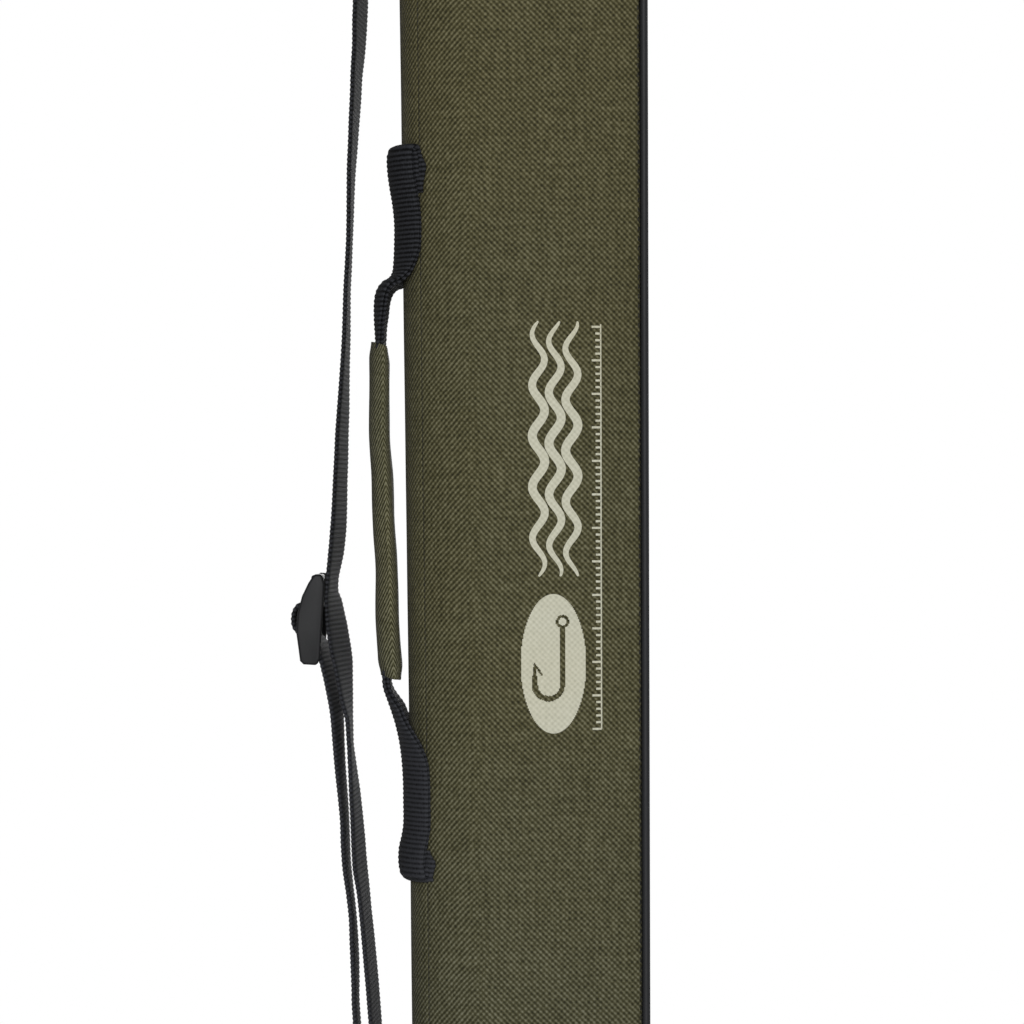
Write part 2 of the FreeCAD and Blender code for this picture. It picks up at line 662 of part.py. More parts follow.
def make_strands():
    eye = swivel_frame("upper").multVec(V(0, 0, -19))
    start = [(eye.x, eye.z - RING_WIRE - 1.0), (eye.x - 0.1, eye.z - 16)]
    save("strap_strand_upper",
         fuse([webbing_loop("upper"), ribbon(start + UPPER_STRAND, WEB, STRAP_WIDTH)]))
    eye = swivel_frame("lower").multVec(V(0, 0, -19))
    reach = RING_WIRE + 0.1 + WEB / 2
    for name, side, points in (("left", -1, LEFT_STRAND), ("right", 1, RIGHT_STRAND)):
        end = [(eye.x + side * reach, eye.z + 1.0)]
        loop = webbing_loop("lower").common(half_space(eye.x + side * 0.05, side))
        lower_half = box((-100, 0), (-40, 40), (200, eye.z + 2))
        save("strap_strand_" + name,
             fuse([ribbon(points + end, WEB, STRAP_WIDTH), loop.common(lower_half)]))


def make_adjuster():
    """Tri-glide: two side rails and three bars, with the webbing's turn round the middle bar."""
    half = STRAP_WIDTH / 2 + 0.5
    top = RAIL_LENGTH / 2
    thick, tall = ADJUSTER_BAR
    rails = [box(RAIL_X, (half, half + RAIL_WIDTH), (-top, top)),
             box(RAIL_X, (-half - RAIL_WIDTH, -half), (-top, top))]
    end_bar = top - tall / 2
    bars = [box((-thick / 2, thick / 2), (-half - 1, half + 1), (z - tall / 2, z + tall / 2))
            for z in (-end_bar, 0, end_bar)]
    frame = fuse(rails + bars)
    outer = box(TURN_X, (-STRAP_WIDTH / 2, STRAP_WIDTH / 2), (-TURN_HEIGHT / 2, TURN_HEIGHT / 2))
    inner = box((TURN_X[0] + WEB, thick / 2 + 0.1), (-STRAP_WIDTH, STRAP_WIDTH), (-tall / 2 - 0.1, tall / 2 + 0.1))
    for name, shape in (("strap_adjuster", frame), ("adjuster_webbing", outer.cut(inner))):
        moved = shape.copy()
        moved.rotate(V(0, 0, 0), Y_AXIS, ADJUSTER_TILT)
        moved.translate(V(ADJUSTER_CENTRE[0], 0, ADJUSTER_CENTRE[1]))
        save(name, moved)


def main():
    os.makedirs("parts", exist_ok=True)
    make_covers()
    make_linings()
    make_boards()
    make_bands()
    make_zip_runs()
    make_beads()
    make_sliders()
    make_interior()
    make_handle_anchors()
    make_handle()
    make_strap_hardware()
    make_strands()
    make_adjuster()


main()
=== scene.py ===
"""Looks of the rod case: woven covers, webbing, grip, strap hardware, zip and print.

Metres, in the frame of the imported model: +Z up along the case, +X the zip side,
-Y the lid.  Sizes written with MM are millimetres turned to metres.
"""
import math

import bmesh
import bpy
from mathutils import Matrix, Vector, noise


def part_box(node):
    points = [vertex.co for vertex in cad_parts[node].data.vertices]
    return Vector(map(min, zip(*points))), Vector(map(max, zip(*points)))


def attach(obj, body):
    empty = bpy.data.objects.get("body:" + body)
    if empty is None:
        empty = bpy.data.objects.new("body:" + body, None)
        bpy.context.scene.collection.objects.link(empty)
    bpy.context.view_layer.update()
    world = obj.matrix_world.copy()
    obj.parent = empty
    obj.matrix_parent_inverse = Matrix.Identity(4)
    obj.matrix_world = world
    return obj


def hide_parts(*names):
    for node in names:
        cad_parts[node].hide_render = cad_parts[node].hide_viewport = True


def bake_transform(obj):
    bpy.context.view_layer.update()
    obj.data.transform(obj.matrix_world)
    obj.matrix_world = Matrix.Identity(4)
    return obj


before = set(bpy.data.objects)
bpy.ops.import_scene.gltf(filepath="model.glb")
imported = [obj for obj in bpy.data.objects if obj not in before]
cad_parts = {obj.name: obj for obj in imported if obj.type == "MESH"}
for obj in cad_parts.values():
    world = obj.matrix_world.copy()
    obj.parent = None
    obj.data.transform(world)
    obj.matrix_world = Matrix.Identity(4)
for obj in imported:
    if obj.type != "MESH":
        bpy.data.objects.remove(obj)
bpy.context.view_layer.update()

bl_info = {
    "name": "Rod case looks",
    "version": (1, 0, 0),
    "blender": (4, 5, 0),
    "location": "View3D > Sidebar > Rod case",
    "description": "Builds the fabric, webbing, hardware, zip and print of a fishing-rod case",
    "category": "Object",
}

MM = 0.001

# The case's cross-section, which is one outline scaled about the zip plane.
CASE_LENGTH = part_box("rear_band_head")[1][2]
TAPER = 1.07e-4 / MM
UNIT_WIDTH = 90.1 * MM
SPINE_R, SHOULDER_R, FACE_R = 26.7 * MM, 44.8 * MM, 158.0 * MM
ARC_SHIFT = (SHOULDER_R - SPINE_R) * math.sqrt(0.5)
SPINE_U = UNIT_WIDTH - SPINE_R
PEAK_U = SPINE_U - ARC_SHIFT
PEAK_V = SHOULDER_R - ARC_SHIFT
CORNER_R = 16.0 * MM
FOLD_ANGLE = math.radians(52.0)
LID_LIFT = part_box("lid_band_foot")[0][2]

# Run of the outline from the spine's middle to the zip corner.
SPINE_RUN = SPINE_R * math.pi / 4
SHOULDER_RUN = SHOULDER_R * math.pi / 4
FACE_RUN = FACE_R * math.asin(PEAK_U / FACE_R)
HALF_RUN = SPINE_RUN + SHOULDER_RUN + FACE_RUN
FOLD_RUN = SPINE_RUN + SHOULDER_R * (FOLD_ANGLE - math.pi / 4)


def scale_at(z):
    return 1.0 + TAPER * (z - CASE_LENGTH / 2)


SEAM_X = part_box("rear_zip_tape")[1][0] + 2.1 * MM
WEB_THICK = 1.8 * MM
RIB_PITCH = 1.75 * MM

# Edge-on lines of the webbing, as (x, z) in millimetres from the spine side.
GRIP_LINE = [(-58.0, 713), (-58.1, 698), (-58.1, 680), (-57.2, 662), (-56.5, 643.5), (-55.8, 627),
             (-55.4, 612), (-54.8, 598), (-54.2, 587)]
HANDLE_UPPER = [(-50.6, 776), (-50.8, 782), (-51.6, 786.5), (-52.8, 787.0), (-53.6, 784.5), (-53.4, 779),
                (-52.6, 773), (-51.6, 767), (-50.9, 760), (-50.9, 752), (-51.2, 745), (-51.8, 740.5), (-53.6, 737.6),
                (-56.0, 736.2), (-57.8, 733.6), (-58.6, 729.5), (-58.6, 723), (-58.2, 716), (-58.0, 708)]
HANDLE_LOWER = [(-54.6, 597), (-55.6, 589), (-55.4, 584), (-53.9, 579.0), (-52.2, 574.0), (-50.8, 569.2), (-49.5, 563),
                (-48.6, 556), (-48.1, 548), (-48.0, 540), (-48.0, 532), (-48.7, 527), (-49.7, 522.5), (-49.9, 517.5),
                (-49.2, 513.4), (-47.9, 512.8), (-47.5, 517)]

# Strap webbing as (x, z, width seen edge-on): the width over its thickness is its turn.
STRAP_LONG = [(-63.4, 958, 2.6), (-63.4, 925, 3.6), (-63.6, 895, 4.8), (-64.2, 865, 5.8), (-64.9, 844.2, 6.1),
              (-65.3, 835, 6), (-65.7, 825.9, 5.3), (-66.5, 816.8, 4.7), (-66.9, 807.7, 4.5),
              (-67.5, 798.6, 4.2), (-68, 789.5, 3.8), (-68.6, 780.3, 3.4), (-68.9, 771.2, 3),
              (-69.1, 762.1, 2.7), (-69.4, 753, 2.4), (-69.8, 743.9, 2.6), (-70.3, 734.7, 2.7),
              (-70.5, 725.6, 3), (-70.7, 716.5, 3.3), (-71.1, 707.4, 3.6), (-71.5, 698.3, 4.2),
              (-71.9, 689.1, 4.9), (-72.4, 680, 5.3), (-72.7, 670.9, 5.6), (-73.1, 661.8, 5.8),
              (-73.4, 652.7, 6.1), (-73.9, 643.5, 6.5), (-74.8, 634.4, 6.3), (-76.2, 625.3, 5.1),
              (-76.5, 620, 5.3), (-75.9, 616.2, 7), (-74.6, 607, 8.6), (-73.2, 598, 8.8), (-72.4, 593.4, 8.2),
              (-71.9, 588.8, 7.2), (-71, 579.7, 5.4), (-70, 572.1, 3), (-69.5, 561.5, 2.4),
              (-68.7, 552.3, 3.4), (-67.9, 543.2, 4.5), (-67.2, 534.1, 5.1), (-66.6, 525, 5.7),
              (-66, 515.9, 5.9), (-64.8, 506.7, 5.2), (-63.9, 497.6, 5), (-63, 488.5, 5.2),
              (-62.2, 479.4, 5.3), (-61.4, 470.3, 5.3), (-60.7, 461.1, 5.3), (-58.2, 430, 4.6),
              (-55.4, 395, 3.8), (-53.9, 370, 3.2), (-53, 344, 2.6)]
STRAP_RETURN = [(-82, 604, 2.4), (-80, 600, 5), (-78.6, 596, 6.8), (-77, 591, 7.4), (-75.6, 583, 6.6),
                (-74.6, 574, 5.3), (-73.9, 561.5, 4.6), (-73.3, 552.3, 4.2), (-72.5, 543.2, 3.8),
                (-71.8, 534.1, 3.5), (-71.5, 525, 3.6), (-71, 515.9, 3.3), (-69.9, 506.7, 2.8),
                (-68.9, 497.6, 2.8), (-68.4, 488.5, 3.3), (-68, 479.4, 3.4), (-67.8, 470.3, 3.1),
                (-67.6, 461.1, 2.8), (-65.4, 430, 3.2), (-61.8, 395, 3.2), (-59.2, 365, 2.8),
                (-58.4, 344, 2.6)]

# The strap hangs beside the viewer's middle, so its far edge shows this much past its near one.
EDGE_SHIFT = 1.1 * MM


class CaseColours(bpy.types.PropertyGroup):
    """Colours of the finishes, which are sRGB values kept as hex text."""

    # The gap colour is painted shade between the threads, and the crown colour a painted highlight where they rise.
    weave_gap_painted_shade: bpy.props.StringProperty(name="Weave gaps", description="Between the threads", default="#2B2A15")
    weave: bpy.props.StringProperty(name="Weave", description="Thread colour of the woven cover", default="#575439")
    weave_crown_painted_highlight: bpy.props.StringProperty(name="Thread crowns", description="Where threads rise", default="#8B8974")
    webbing: bpy.props.StringProperty(name="Webbing", description="Yarn colour of the webbing", default="#2B2C30")
    piping: bpy.props.StringProperty(name="Piping", description="Vinyl of the beads", default="#232428")
    plastic: bpy.props.StringProperty(name="Plastic", description="Moulded strap hardware", default="#1A1B1E")
    print_ink: bpy.props.StringProperty(name="Print", description="Ink of the front print", default="#E4E4DC")


class CaseSizes(bpy.types.PropertyGroup):
    """Sizes of the visible detail."""

    thread_pitch: bpy.props.FloatProperty(
        name="Thread pitch", description="Spacing of the cover's threads", default=1.12 * MM, unit="LENGTH")
    stitch_pitch: bpy.props.FloatProperty(
        name="Stitch pitch", description="Length of one stitch and its gap", default=3.6 * MM, unit="LENGTH")
    coil_pitch: bpy.props.FloatProperty(
        name="Coil pitch", description="Spacing of the zip's teeth", default=2.0 * MM, unit="LENGTH")
    grip_thickness: bpy.props.FloatProperty(
        name="Grip thickness", description="Thickness of the padded grip", default=8.4 * MM, unit="LENGTH")
    grip_width: bpy.props.FloatProperty(
        name="Grip width", description="Width of the padded grip", default=32.0 * MM, unit="LENGTH")
    strap_width: bpy.props.FloatProperty(
        name="Strap width", description="Width of the shoulder strap", default=38.0 * MM, unit="LENGTH")


# ---------------------------------------------------------------- materials

def linear(hex_text, gain=1.0):
    """sRGB hex to a linear colour."""
    out = []
    for i in (1, 3, 5):
        c = int(hex_text[i:i + 2], 16) / 255
        out.append(gain * (c / 12.92 if c <= 0.04045 else ((c + 0.055) / 1.055) ** 2.4))
    return (*out, 1.0)


def add(tree, kind, inputs=(), **settings):
    """Adds a node with its settings, and sets or links its inputs."""
    made = tree.nodes.new(kind)
    for key, value in settings.items():
        setattr(made, key, value)
    for key, value in dict(inputs).items():
        if isinstance(value, bpy.types.NodeSocket):
            tree.links.new(value, made.inputs[key])
        else:
            made.inputs[key].default_value = value
    return made


def maths(tree, operation, a, b=0.0):
    return add(tree, "ShaderNodeMath", {0: a, 1: b}, operation=operation).outputs[0]


def blank(name, **shader):
    """An empty material with its shader's own values."""
    material = bpy.data.materials.new(name)
    material.use_nodes = True
    tree = material.node_tree
    tree.nodes.clear()
    bsdf = add(tree, "ShaderNodeBsdfPrincipled", shader)
    add(tree, "ShaderNodeOutputMaterial", {"Surface": bsdf.outputs[0]})
    return material, tree, bsdf


def tones(tree, factor, stops):
    """Colour ramp from (position, linear colour) stops."""
    ramp = add(tree, "ShaderNodeValToRGB", {0: factor})
    elements = ramp.color_ramp.elements
    while len(elements) < len(stops):
        elements.new(0.5)
    for element, (position, colour) in zip(elements, stops):
        element.position = position
        element.color = colour
    return ramp.outputs[0]


def clouds(tree, place, scale, detail):
    """Noise from 0 to 1."""
    return add(tree, "ShaderNodeTexNoise", {"Vector": place, "Scale": scale, "Detail": detail}).outputs[0]


def weigh(tree, start, *parts):
    """start plus the sum of (value, weight) pairs."""
    total = start
    for value, weight in parts:
        total = maths(tree, "ADD", total, maths(tree, "MULTIPLY", value, weight))
    return total


def surface(tree, bsdf, colour, height, strength, distance):
    """Gives a shader its colour, and its relief as a bump."""
    tree.links.new(colour, bsdf.inputs["Base Color"])
    bump = add(tree, "ShaderNodeBump", {"Height": height, "Strength": strength, "Distance": distance})
    tree.links.new(bump.outputs[0], bsdf.inputs["Normal"])


def checker_threads(tree, u, v, pitch, lean=0.0):
    """Over-and-under relief of a plain weave, -1 to 1, from coordinates in metres.

    lean makes one diagonal run of crowns stand out more than the other.
    """
    waves = []
    for sign in (1, -1):
        run = weigh(tree, u, (v, -sign))
        wave = maths(tree, "COSINE", maths(tree, "MULTIPLY", run, math.pi / pitch))
        share = weigh(tree, 0.5, (lean, 0.5 * sign))
        waves.append(maths(tree, "MULTIPLY", wave, share))
    return maths(tree, "SUBTRACT", waves[0], waves[1])


def woven(name, coordinates, pitch, gap, main, crown_highlight, contrast=0.9, relief=0.5, lean=None):
    """Coarse polyester in plain weave, coated behind: dull threads, with painted shade in the gaps between them and a
    painted grey highlight where they rise.

    The pitch, like every size here, rests on the case's estimated scale, and the kind of cloth is a guess.
    """
    material, tree, bsdf = blank(name, Roughness=0.78, IOR=1.55)
    bsdf.inputs["Specular IOR Level"].default_value = 0.3
    bsdf.inputs["Sheen Weight"].default_value = 0.05
    bsdf.inputs["Sheen Roughness"].default_value = 0.5
    u, v, solid = coordinates(tree)
    # The threads wander a little, so the weave isn't a perfect grid.
    drift = clouds(tree, solid, 45.0, 2.0)
    u = weigh(tree, u, (drift, 1.6 * MM))
    v = weigh(tree, v, (drift, 1.1 * MM))
    threads = checker_threads(tree, u, v, pitch, lean(tree, u) if lean else 0.2)
    # Yarns differ in tone: streaks far longer than they are wide.
    streaks = 0.0
    for across, along_yarn in ((u, v), (v, u)):
        place = add(tree, "ShaderNodeCombineXYZ", {
            0: maths(tree, "MULTIPLY", across, 1.0 / pitch),
            1: maths(tree, "MULTIPLY", along_yarn, 0.05 / pitch)}).outputs[0]
        yarn = clouds(tree, place, 1.0, 1.0)
        streaks = maths(tree, "ADD", streaks, maths(tree, "SUBTRACT", yarn, 0.5))
    fleck = clouds(tree, solid, 0.9 / pitch, 4.0)
    fleck = maths(tree, "SUBTRACT", fleck, 0.5)
    # The threads' relief sets the tone: the gap colour is painted shade and the crown colour a painted highlight;
    # streaks and flecks are the yarns' own tone.
    level = weigh(tree, 0.5, (threads, 0.42 * contrast), (streaks, 0.35 * contrast), (fleck, 0.9 * contrast))
    shade = tones(tree, level, [(0.05, linear(gap)), (0.5, linear(main)), (0.98, linear(crown_highlight))])
    # Soft patches of tone, and painted lighting by height: warmer and a little darker above, greyer and lighter below.
    height = add(tree, "ShaderNodeSeparateXYZ", {0: solid}).outputs[2]
    patch = clouds(tree, solid, 6.0, 3.0)
    patch_tone_and_height_light = weigh(tree, 0.0, (patch, 0.9), (height, 0.9))
    tint = tones(tree, maths(tree, "SUBTRACT", patch_tone_and_height_light, 0.55),
                 [(0.2, (0.97, 1.0, 1.0, 1)), (0.5, (1.0, 0.99, 0.85, 1)), (0.85, (1.03, 0.95, 0.70, 1))])
    colour = add(tree, "ShaderNodeVectorMath", {0: shade, 1: tint}, operation="MULTIPLY").outputs[0]
    surface(tree, bsdf, colour, weigh(tree, threads, (fleck, 1.5)), relief, 0.3 * MM)
    return material


def lean_of_the_fold(tree, u):
    """Crowns lean one way on the faces and the other way round the spine."""
    beyond = maths(tree, "ABSOLUTE", u)
    return add(tree, "ShaderNodeMapRange", {0: beyond, 1: 37 * MM, 2: 45 * MM, 3: -0.5, 4: 0.33}).outputs[0]


def own_uv(tree):
    """The piece's own map, in metres, with its place for slow changes."""
    uv = add(tree, "ShaderNodeSeparateXYZ", {0: add(tree, "ShaderNodeUVMap", uv_map="cloth").outputs[0]})
    return uv.outputs[0], uv.outputs[1], add(tree, "ShaderNodeTexCoord").outputs["Object"]


def round_the_zip(tree):
    """Across the gusset and along its U-shaped run: y, and x plus z."""
    place = add(tree, "ShaderNodeTexCoord").outputs["Object"]
    part = add(tree, "ShaderNodeSeparateXYZ", {0: place})
    return part.outputs[1], maths(tree, "ADD", part.outputs[0], part.outputs[2]), place


def height_and_width(tree):
    """Across a strap and along it: y and z."""
    place = add(tree, "ShaderNodeTexCoord").outputs["Object"]
    part = add(tree, "ShaderNodeSeparateXYZ", {0: place})
    return part.outputs[1], part.outputs[2], place


def ribbed_webbing(name, coordinates, colour):
    """Polypropylene webbing: cross ribs 1.75 mm apart with fine yarns in them, dull."""
    material, tree, bsdf = blank(name, Roughness=0.8, IOR=1.3)
    bsdf.inputs["Sheen Weight"].default_value = 0.03
    u, v, solid = coordinates(tree)
    rib = maths(tree, "SINE", maths(tree, "MULTIPLY", v, 2 * math.pi / RIB_PITCH))
    yarn = maths(tree, "SINE", maths(tree, "MULTIPLY", u, 2 * math.pi / (1.3 * MM)))
    fuzz = clouds(tree, solid, 900.0, 3.0)
    slow = clouds(tree, solid, 16.0, 1.0)
    # The ribs' tone follows their relief, darker in the grooves and lighter on the crowns: painted shade and light;
    # the fuzz is the yarn's own tone.
    level = weigh(tree, 0.0, (rib, 0.32), (yarn, 0.05), (fuzz, 0.8))
    # Painted lighting: lighter towards the foot, standing in for the stronger light on the lower webbing.
    height = add(tree, "ShaderNodeSeparateXYZ", {0: solid}).outputs[2]
    foot_painted_light = add(tree, "ShaderNodeMapRange", {0: height, 1: 0.66, 2: 0.58, 3: 0.0, 4: 0.2}).outputs[0]
    level = maths(tree, "ADD", level, foot_painted_light)
    shade = tones(tree, weigh(tree, level, (slow, 0.2)),
                  [(0.22, linear(colour, 0.12)), (0.42, linear(colour, 0.8)), (0.95, linear(colour, 2.2))])
    surface(tree, bsdf, shade, level, 0.5, 0.3 * MM)
    return material


def grained(name, colour, roughness, grain, strength, ior=1.5, wear=0.0, coat=0.0):
    """A moulded or coated finish: fine grain of one size, with tone and gloss that vary slightly."""
    material, tree, bsdf = blank(name, IOR=ior)
    bsdf.inputs["Coat Weight"].default_value = coat
    place = add(tree, "ShaderNodeTexCoord").outputs["Object"]
    fine = clouds(tree, place, 1.0 / grain, 3.0)
    slow = clouds(tree, place, 40.0, 2.0)
    shade = tones(tree, weigh(tree, 0.0, (fine, 0.6), (slow, 0.4)),
                  [(0.3, linear(colour, 0.72)), (0.55, linear(colour)), (0.8, linear(colour, 1.25 + wear))])
    tree.links.new(weigh(tree, roughness - 0.08, (slow, 0.16)), bsdf.inputs["Roughness"])
    surface(tree, bsdf, shade, fine, strength, grain * 0.3)
    return material


def knitted(name, colour, pitch):
    """Tricot, tape or elastic: rows of small loops, soft and dull."""
    material, tree, bsdf = blank(name, Roughness=0.85, IOR=1.5)
    bsdf.inputs["Sheen Weight"].default_value = 0.25
    place = add(tree, "ShaderNodeTexCoord").outputs["Object"]
    part = add(tree, "ShaderNodeSeparateXYZ", {0: place})
    across = maths(tree, "ADD", part.outputs[0], part.outputs[1])
    loops = checker_threads(tree, across, part.outputs[2], pitch)
    lint = clouds(tree, place, 0.5 / pitch, 3.0)
    level = weigh(tree, lint, (loops, 0.22))
    shade = tones(tree, level, [(0.2, linear(colour, 0.6)), (0.55, linear(colour)), (0.85, linear(colour, 1.5))])
    surface(tree, bsdf, shade, level, 0.4, 0.25 * MM)
    return material


MATERIALS = {}


def make_materials():
    """All finishes, by name."""
    c = bpy.context.scene.case_colours
    s = bpy.context.scene.case_sizes
    # In every woven finish the first colour is painted shade between the threads and the last a painted highlight on
    # their crowns.
    weave = (c.weave_gap_painted_shade, c.weave, c.weave_crown_painted_highlight)
    made = [
        woven("ballistic_weave", own_uv, s.thread_pitch, *weave, lean=lean_of_the_fold),
        woven("gusset_weave", round_the_zip, s.thread_pitch, *weave),
        woven("grip_weave", own_uv, s.thread_pitch, "#34331C", "#636147", "#9A9884", contrast=1.1,
              lean=lambda tree, u: 0.75),
        ribbed_webbing("webbing_ribbed", own_uv, c.webbing),
        ribbed_webbing("webbing_tab", height_and_width, c.webbing),
        # Soft vinyl over cord: smooth, a low soft gloss.
        grained("piping_vinyl", c.piping, 0.6, 0.6 * MM, 0.12),
        # Acetal: dense black moulding with a satin, slightly waxy face.
        grained("acetal_moulded", c.plastic, 0.55, 0.4 * MM, 0.15, ior=1.42),
        # Zinc casting under black enamel, rubbed a little on its edges.
        grained("zip_enamel", "#17181A", 0.5, 0.5 * MM, 0.08, coat=0.05, wear=0.5),
        # Steel wire with a black powder coat.
        grained("ring_powder_coat", "#18191B", 0.45, 0.5 * MM, 0.25, ior=1.5),
        # Nylon coil: hard, slightly shiny filament.
        grained("coil_nylon", "#141517", 0.35, 0.3 * MM, 0.1, ior=1.53),
        # Polyethylene sheet, die-cut.
        grained("board_polyethylene", "#222326", 0.6, 1.0 * MM, 0.2),
        # Closed-cell EVA foam, cut face.
        grained("foam_eva", "#2A2B2E", 0.9, 0.9 * MM, 0.6),
        knitted("lining_tricot", "#2B2C2F", 1.0 * MM),
        knitted("tape_woven", "#1B1C1F", 0.8 * MM),
        knitted("elastic_knit", "#1E1F22", 1.2 * MM),
        grained("thread_polyester", "#24231C", 0.6, 0.4 * MM, 0.3),
        # Screen ink sinks into the weave, so it keeps the cloth's relief.
        woven("ink_on_weave", own_uv, s.thread_pitch, "#D2D2CA", c.print_ink, "#F2F2EE", contrast=0.8, relief=0.2),
        # Matt studio paper, left plain.
        blank("floor_paper", **{"Base Color": linear("#E8E8E6"), "Roughness": 0.9})[0],
    ]
    for material in made:
        MATERIALS[material.name] = material


def dress(nodes, name):
    """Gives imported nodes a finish."""
    for node in nodes:
        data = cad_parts[node].data
        data.materials.clear()
        data.materials.append(MATERIALS[name])


# ---------------------------------------------------------------- mesh helpers

def finish_piece(name, bm, material, body, replaces=()):
    """Turns a bmesh into a piece that rides on a body, or on none."""
    mesh = bpy.data.meshes.new(name)
    bm.to_mesh(mesh)
    bm.free()
    for polygon in mesh.polygons:
        polygon.use_smooth = True
    piece = bpy.data.objects.new(name, mesh)
    bpy.context.scene.collection.objects.link(piece)
    mesh.materials.append(MATERIALS[material])
    if body:
        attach(piece, body)
    if replaces:
        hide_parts(*replaces)
    return piece


def grid(columns, rows, place, wrap=False):
    """A sheet of columns by rows whose points place(a, b) sets, with a map in metres.

    wrap closes the sheet round its columns into a tube with filled ends.
    """
    bm = bmesh.new()
    bmesh.ops.create_grid(bm, x_segments=columns, y_segments=rows, size=0.5)
    layer = bm.loops.layers.uv.new("cloth")
    for vertex in bm.verts:
        vertex.co.x += 0.5
        vertex.co.y += 0.5
    maps = {}
    for face in bm.faces:
        for loop in face.loops:
            a, b = loop.vert.co.x, loop.vert.co.y
            key = (round(a, 6), round(b, 6))
            if key not in maps:
                maps[key] = place(a, b)
            loop[layer].uv = maps[key][1]
    for vertex in bm.verts:
        vertex.co = maps[(round(vertex.co.x, 6), round(vertex.co.y, 6))][0]
    if wrap:
        bmesh.ops.remove_doubles(bm, verts=bm.verts, dist=1e-6)
        ends = [edge for edge in bm.edges if len(edge.link_faces) == 1]
        bmesh.ops.holes_fill(bm, edges=ends, sides=0)
    bmesh.ops.recalc_face_normals(bm, faces=bm.faces)
    return bm


def add_to(whole, bm):
    """Adds one bmesh to another and frees it."""
    spare = bpy.data.meshes.new("spare")
    bm.to_mesh(spare)
    bm.free()
    whole.from_mesh(spare)
    bpy.data.meshes.remove(spare)


def thicken(piece, thickness, offset):
    shell = piece.modifiers.new("thickness", "SOLIDIFY")
    shell.thickness = thickness
    shell.offset = offset
    shell.use_even_offset = True


def mix(a, b, t):
    return a + (b - a) * t


def ease(t):
    t = min(max(t, 0.0), 1.0)
    return t * t * (3 - 2 * t)


def along(points, spacing=0.5 * MM):
    """Evenly spaced points of a smooth line through (x, z) points in millimetres."""
    ends = [2 * Vector(points[0]) - Vector(points[1])], [2 * Vector(points[-1]) - Vector(points[-2])]
    knots = ends[0] + [Vector(p) for p in points] + ends[1]
    dense = []
    for p0, p1, p2, p3 in zip(knots, knots[1:], knots[2:], knots[3:]):
        for i in range(24):
            t = i / 24
            dense.append(0.5 * (2 * p1 + (p2 - p0) * t + (2 * p0 - 5 * p1 + 4 * p2 - p3) * t ** 2
                                + (3 * p1 - p0 - 3 * p2 + p3) * t ** 3) * MM)
    dense.append(knots[-2] * MM)
    run = [0.0]
    for a, b in zip(dense, dense[1:]):
        run.append(run[-1] + (b - a).length)
    count = max(2, round(run[-1] / spacing))
    out, at = [], 0
    for i in range(count + 1):
        want = run[-1] * i / count
        while at < len(run) - 2 and run[at + 1] < want:
            at += 1
        t = (want - run[at]) / max(run[at + 1] - run[at], 1e-9)
        out.append(dense[at].lerp(dense[at + 1], t))
    return out, run[-1]


# ---------------------------------------------------------------- the case's surface

def outline(run, z, lift=0.0):
    """Point and outward normal at a signed run from the spine's middle: minus is the front.

    run is at mid height's scale; lift moves the point outwards.
    """
    k = scale_at(z)
    side = -1 if run < 0 else 1
    s = abs(run)
    if s < SPINE_RUN:
        a, centre, radius = s / SPINE_R, (SPINE_U, 0.0), SPINE_R
    elif s < SPINE_RUN + SHOULDER_RUN:
        a = math.pi / 4 + (s - SPINE_RUN) / SHOULDER_R
        centre, radius = (PEAK_U, PEAK_V - SHOULDER_R), SHOULDER_R
    else:
        a = math.pi / 2 + (s - SPINE_RUN - SHOULDER_RUN) / FACE_R
        centre, radius = (PEAK_U, PEAK_V - FACE_R), FACE_R
    normal = Vector((-math.cos(a), side * math.sin(a), 0.0))
    u = centre[0] * k + (radius * k + lift) * math.cos(a)
    v = centre[1] * k + (radius * k + lift) * math.sin(a)
    return Vector((SEAM_X - u, side * v, z)), normal


def run_at_x(x, z):
    """Run from the spine to the point with this x on a face, between its peak and the bead."""
    u = (SEAM_X - x) / scale_at(z)
    return SPINE_RUN + SHOULDER_RUN + FACE_R * math.asin((PEAK_U - u) / FACE_R)


def unevenness(run, z):
    """Slow swells that padded cloth has over its boards."""
    p = Vector((run * 14, z * 6, 3.1))
    return 0.35 * MM * noise.noise(p) + 0.12 * MM * noise.noise(p * 3.3)


BEAD_EDGE = 1.25 * MM


def cover_place(run_from, run_to, z_low, z_high):
    """Places a cover's grid, with its sewn edge turned down beside the bead."""
    def place(a, b):
        run = mix(run_from, run_to, a)
        u = HALF_RUN - abs(run)
        bend = CORNER_R - (u - BEAD_EDGE)
        cut = CORNER_R - math.sqrt(max(CORNER_R ** 2 - bend ** 2, 0.0)) if bend > 0 else 0.0
        margin = 3.0 * MM + cut
        z = mix(z_low + margin, z_high - margin, b)
        edge = min(u - BEAD_EDGE, z - z_low - margin + 1.2 * MM, z_high - margin - z + 1.2 * MM)
        dip = 0.9 * MM * (1 - ease(edge / (1.5 * MM)))
        fade = ease((u - 2 * MM) / (12 * MM))
        point, normal = outline(run, z, unevenness(run, z) * fade - dip)
        return point, (run * scale_at(z), z)
    return place


def make_cover(name, run_from, run_to, z_low, z_high, columns):
    bm = grid(columns, 260, cover_place(run_from, run_to, z_low, z_high))
    face = max(bm.faces, key=lambda f: f.calc_area())
    middle = face.calc_center_median()
    if face.normal.dot(Vector((middle.x, middle.y, 0.0))) < 0:
        bmesh.ops.reverse_faces(bm, faces=bm.faces)
    return bm


# ---------------------------------------------------------------- webbing

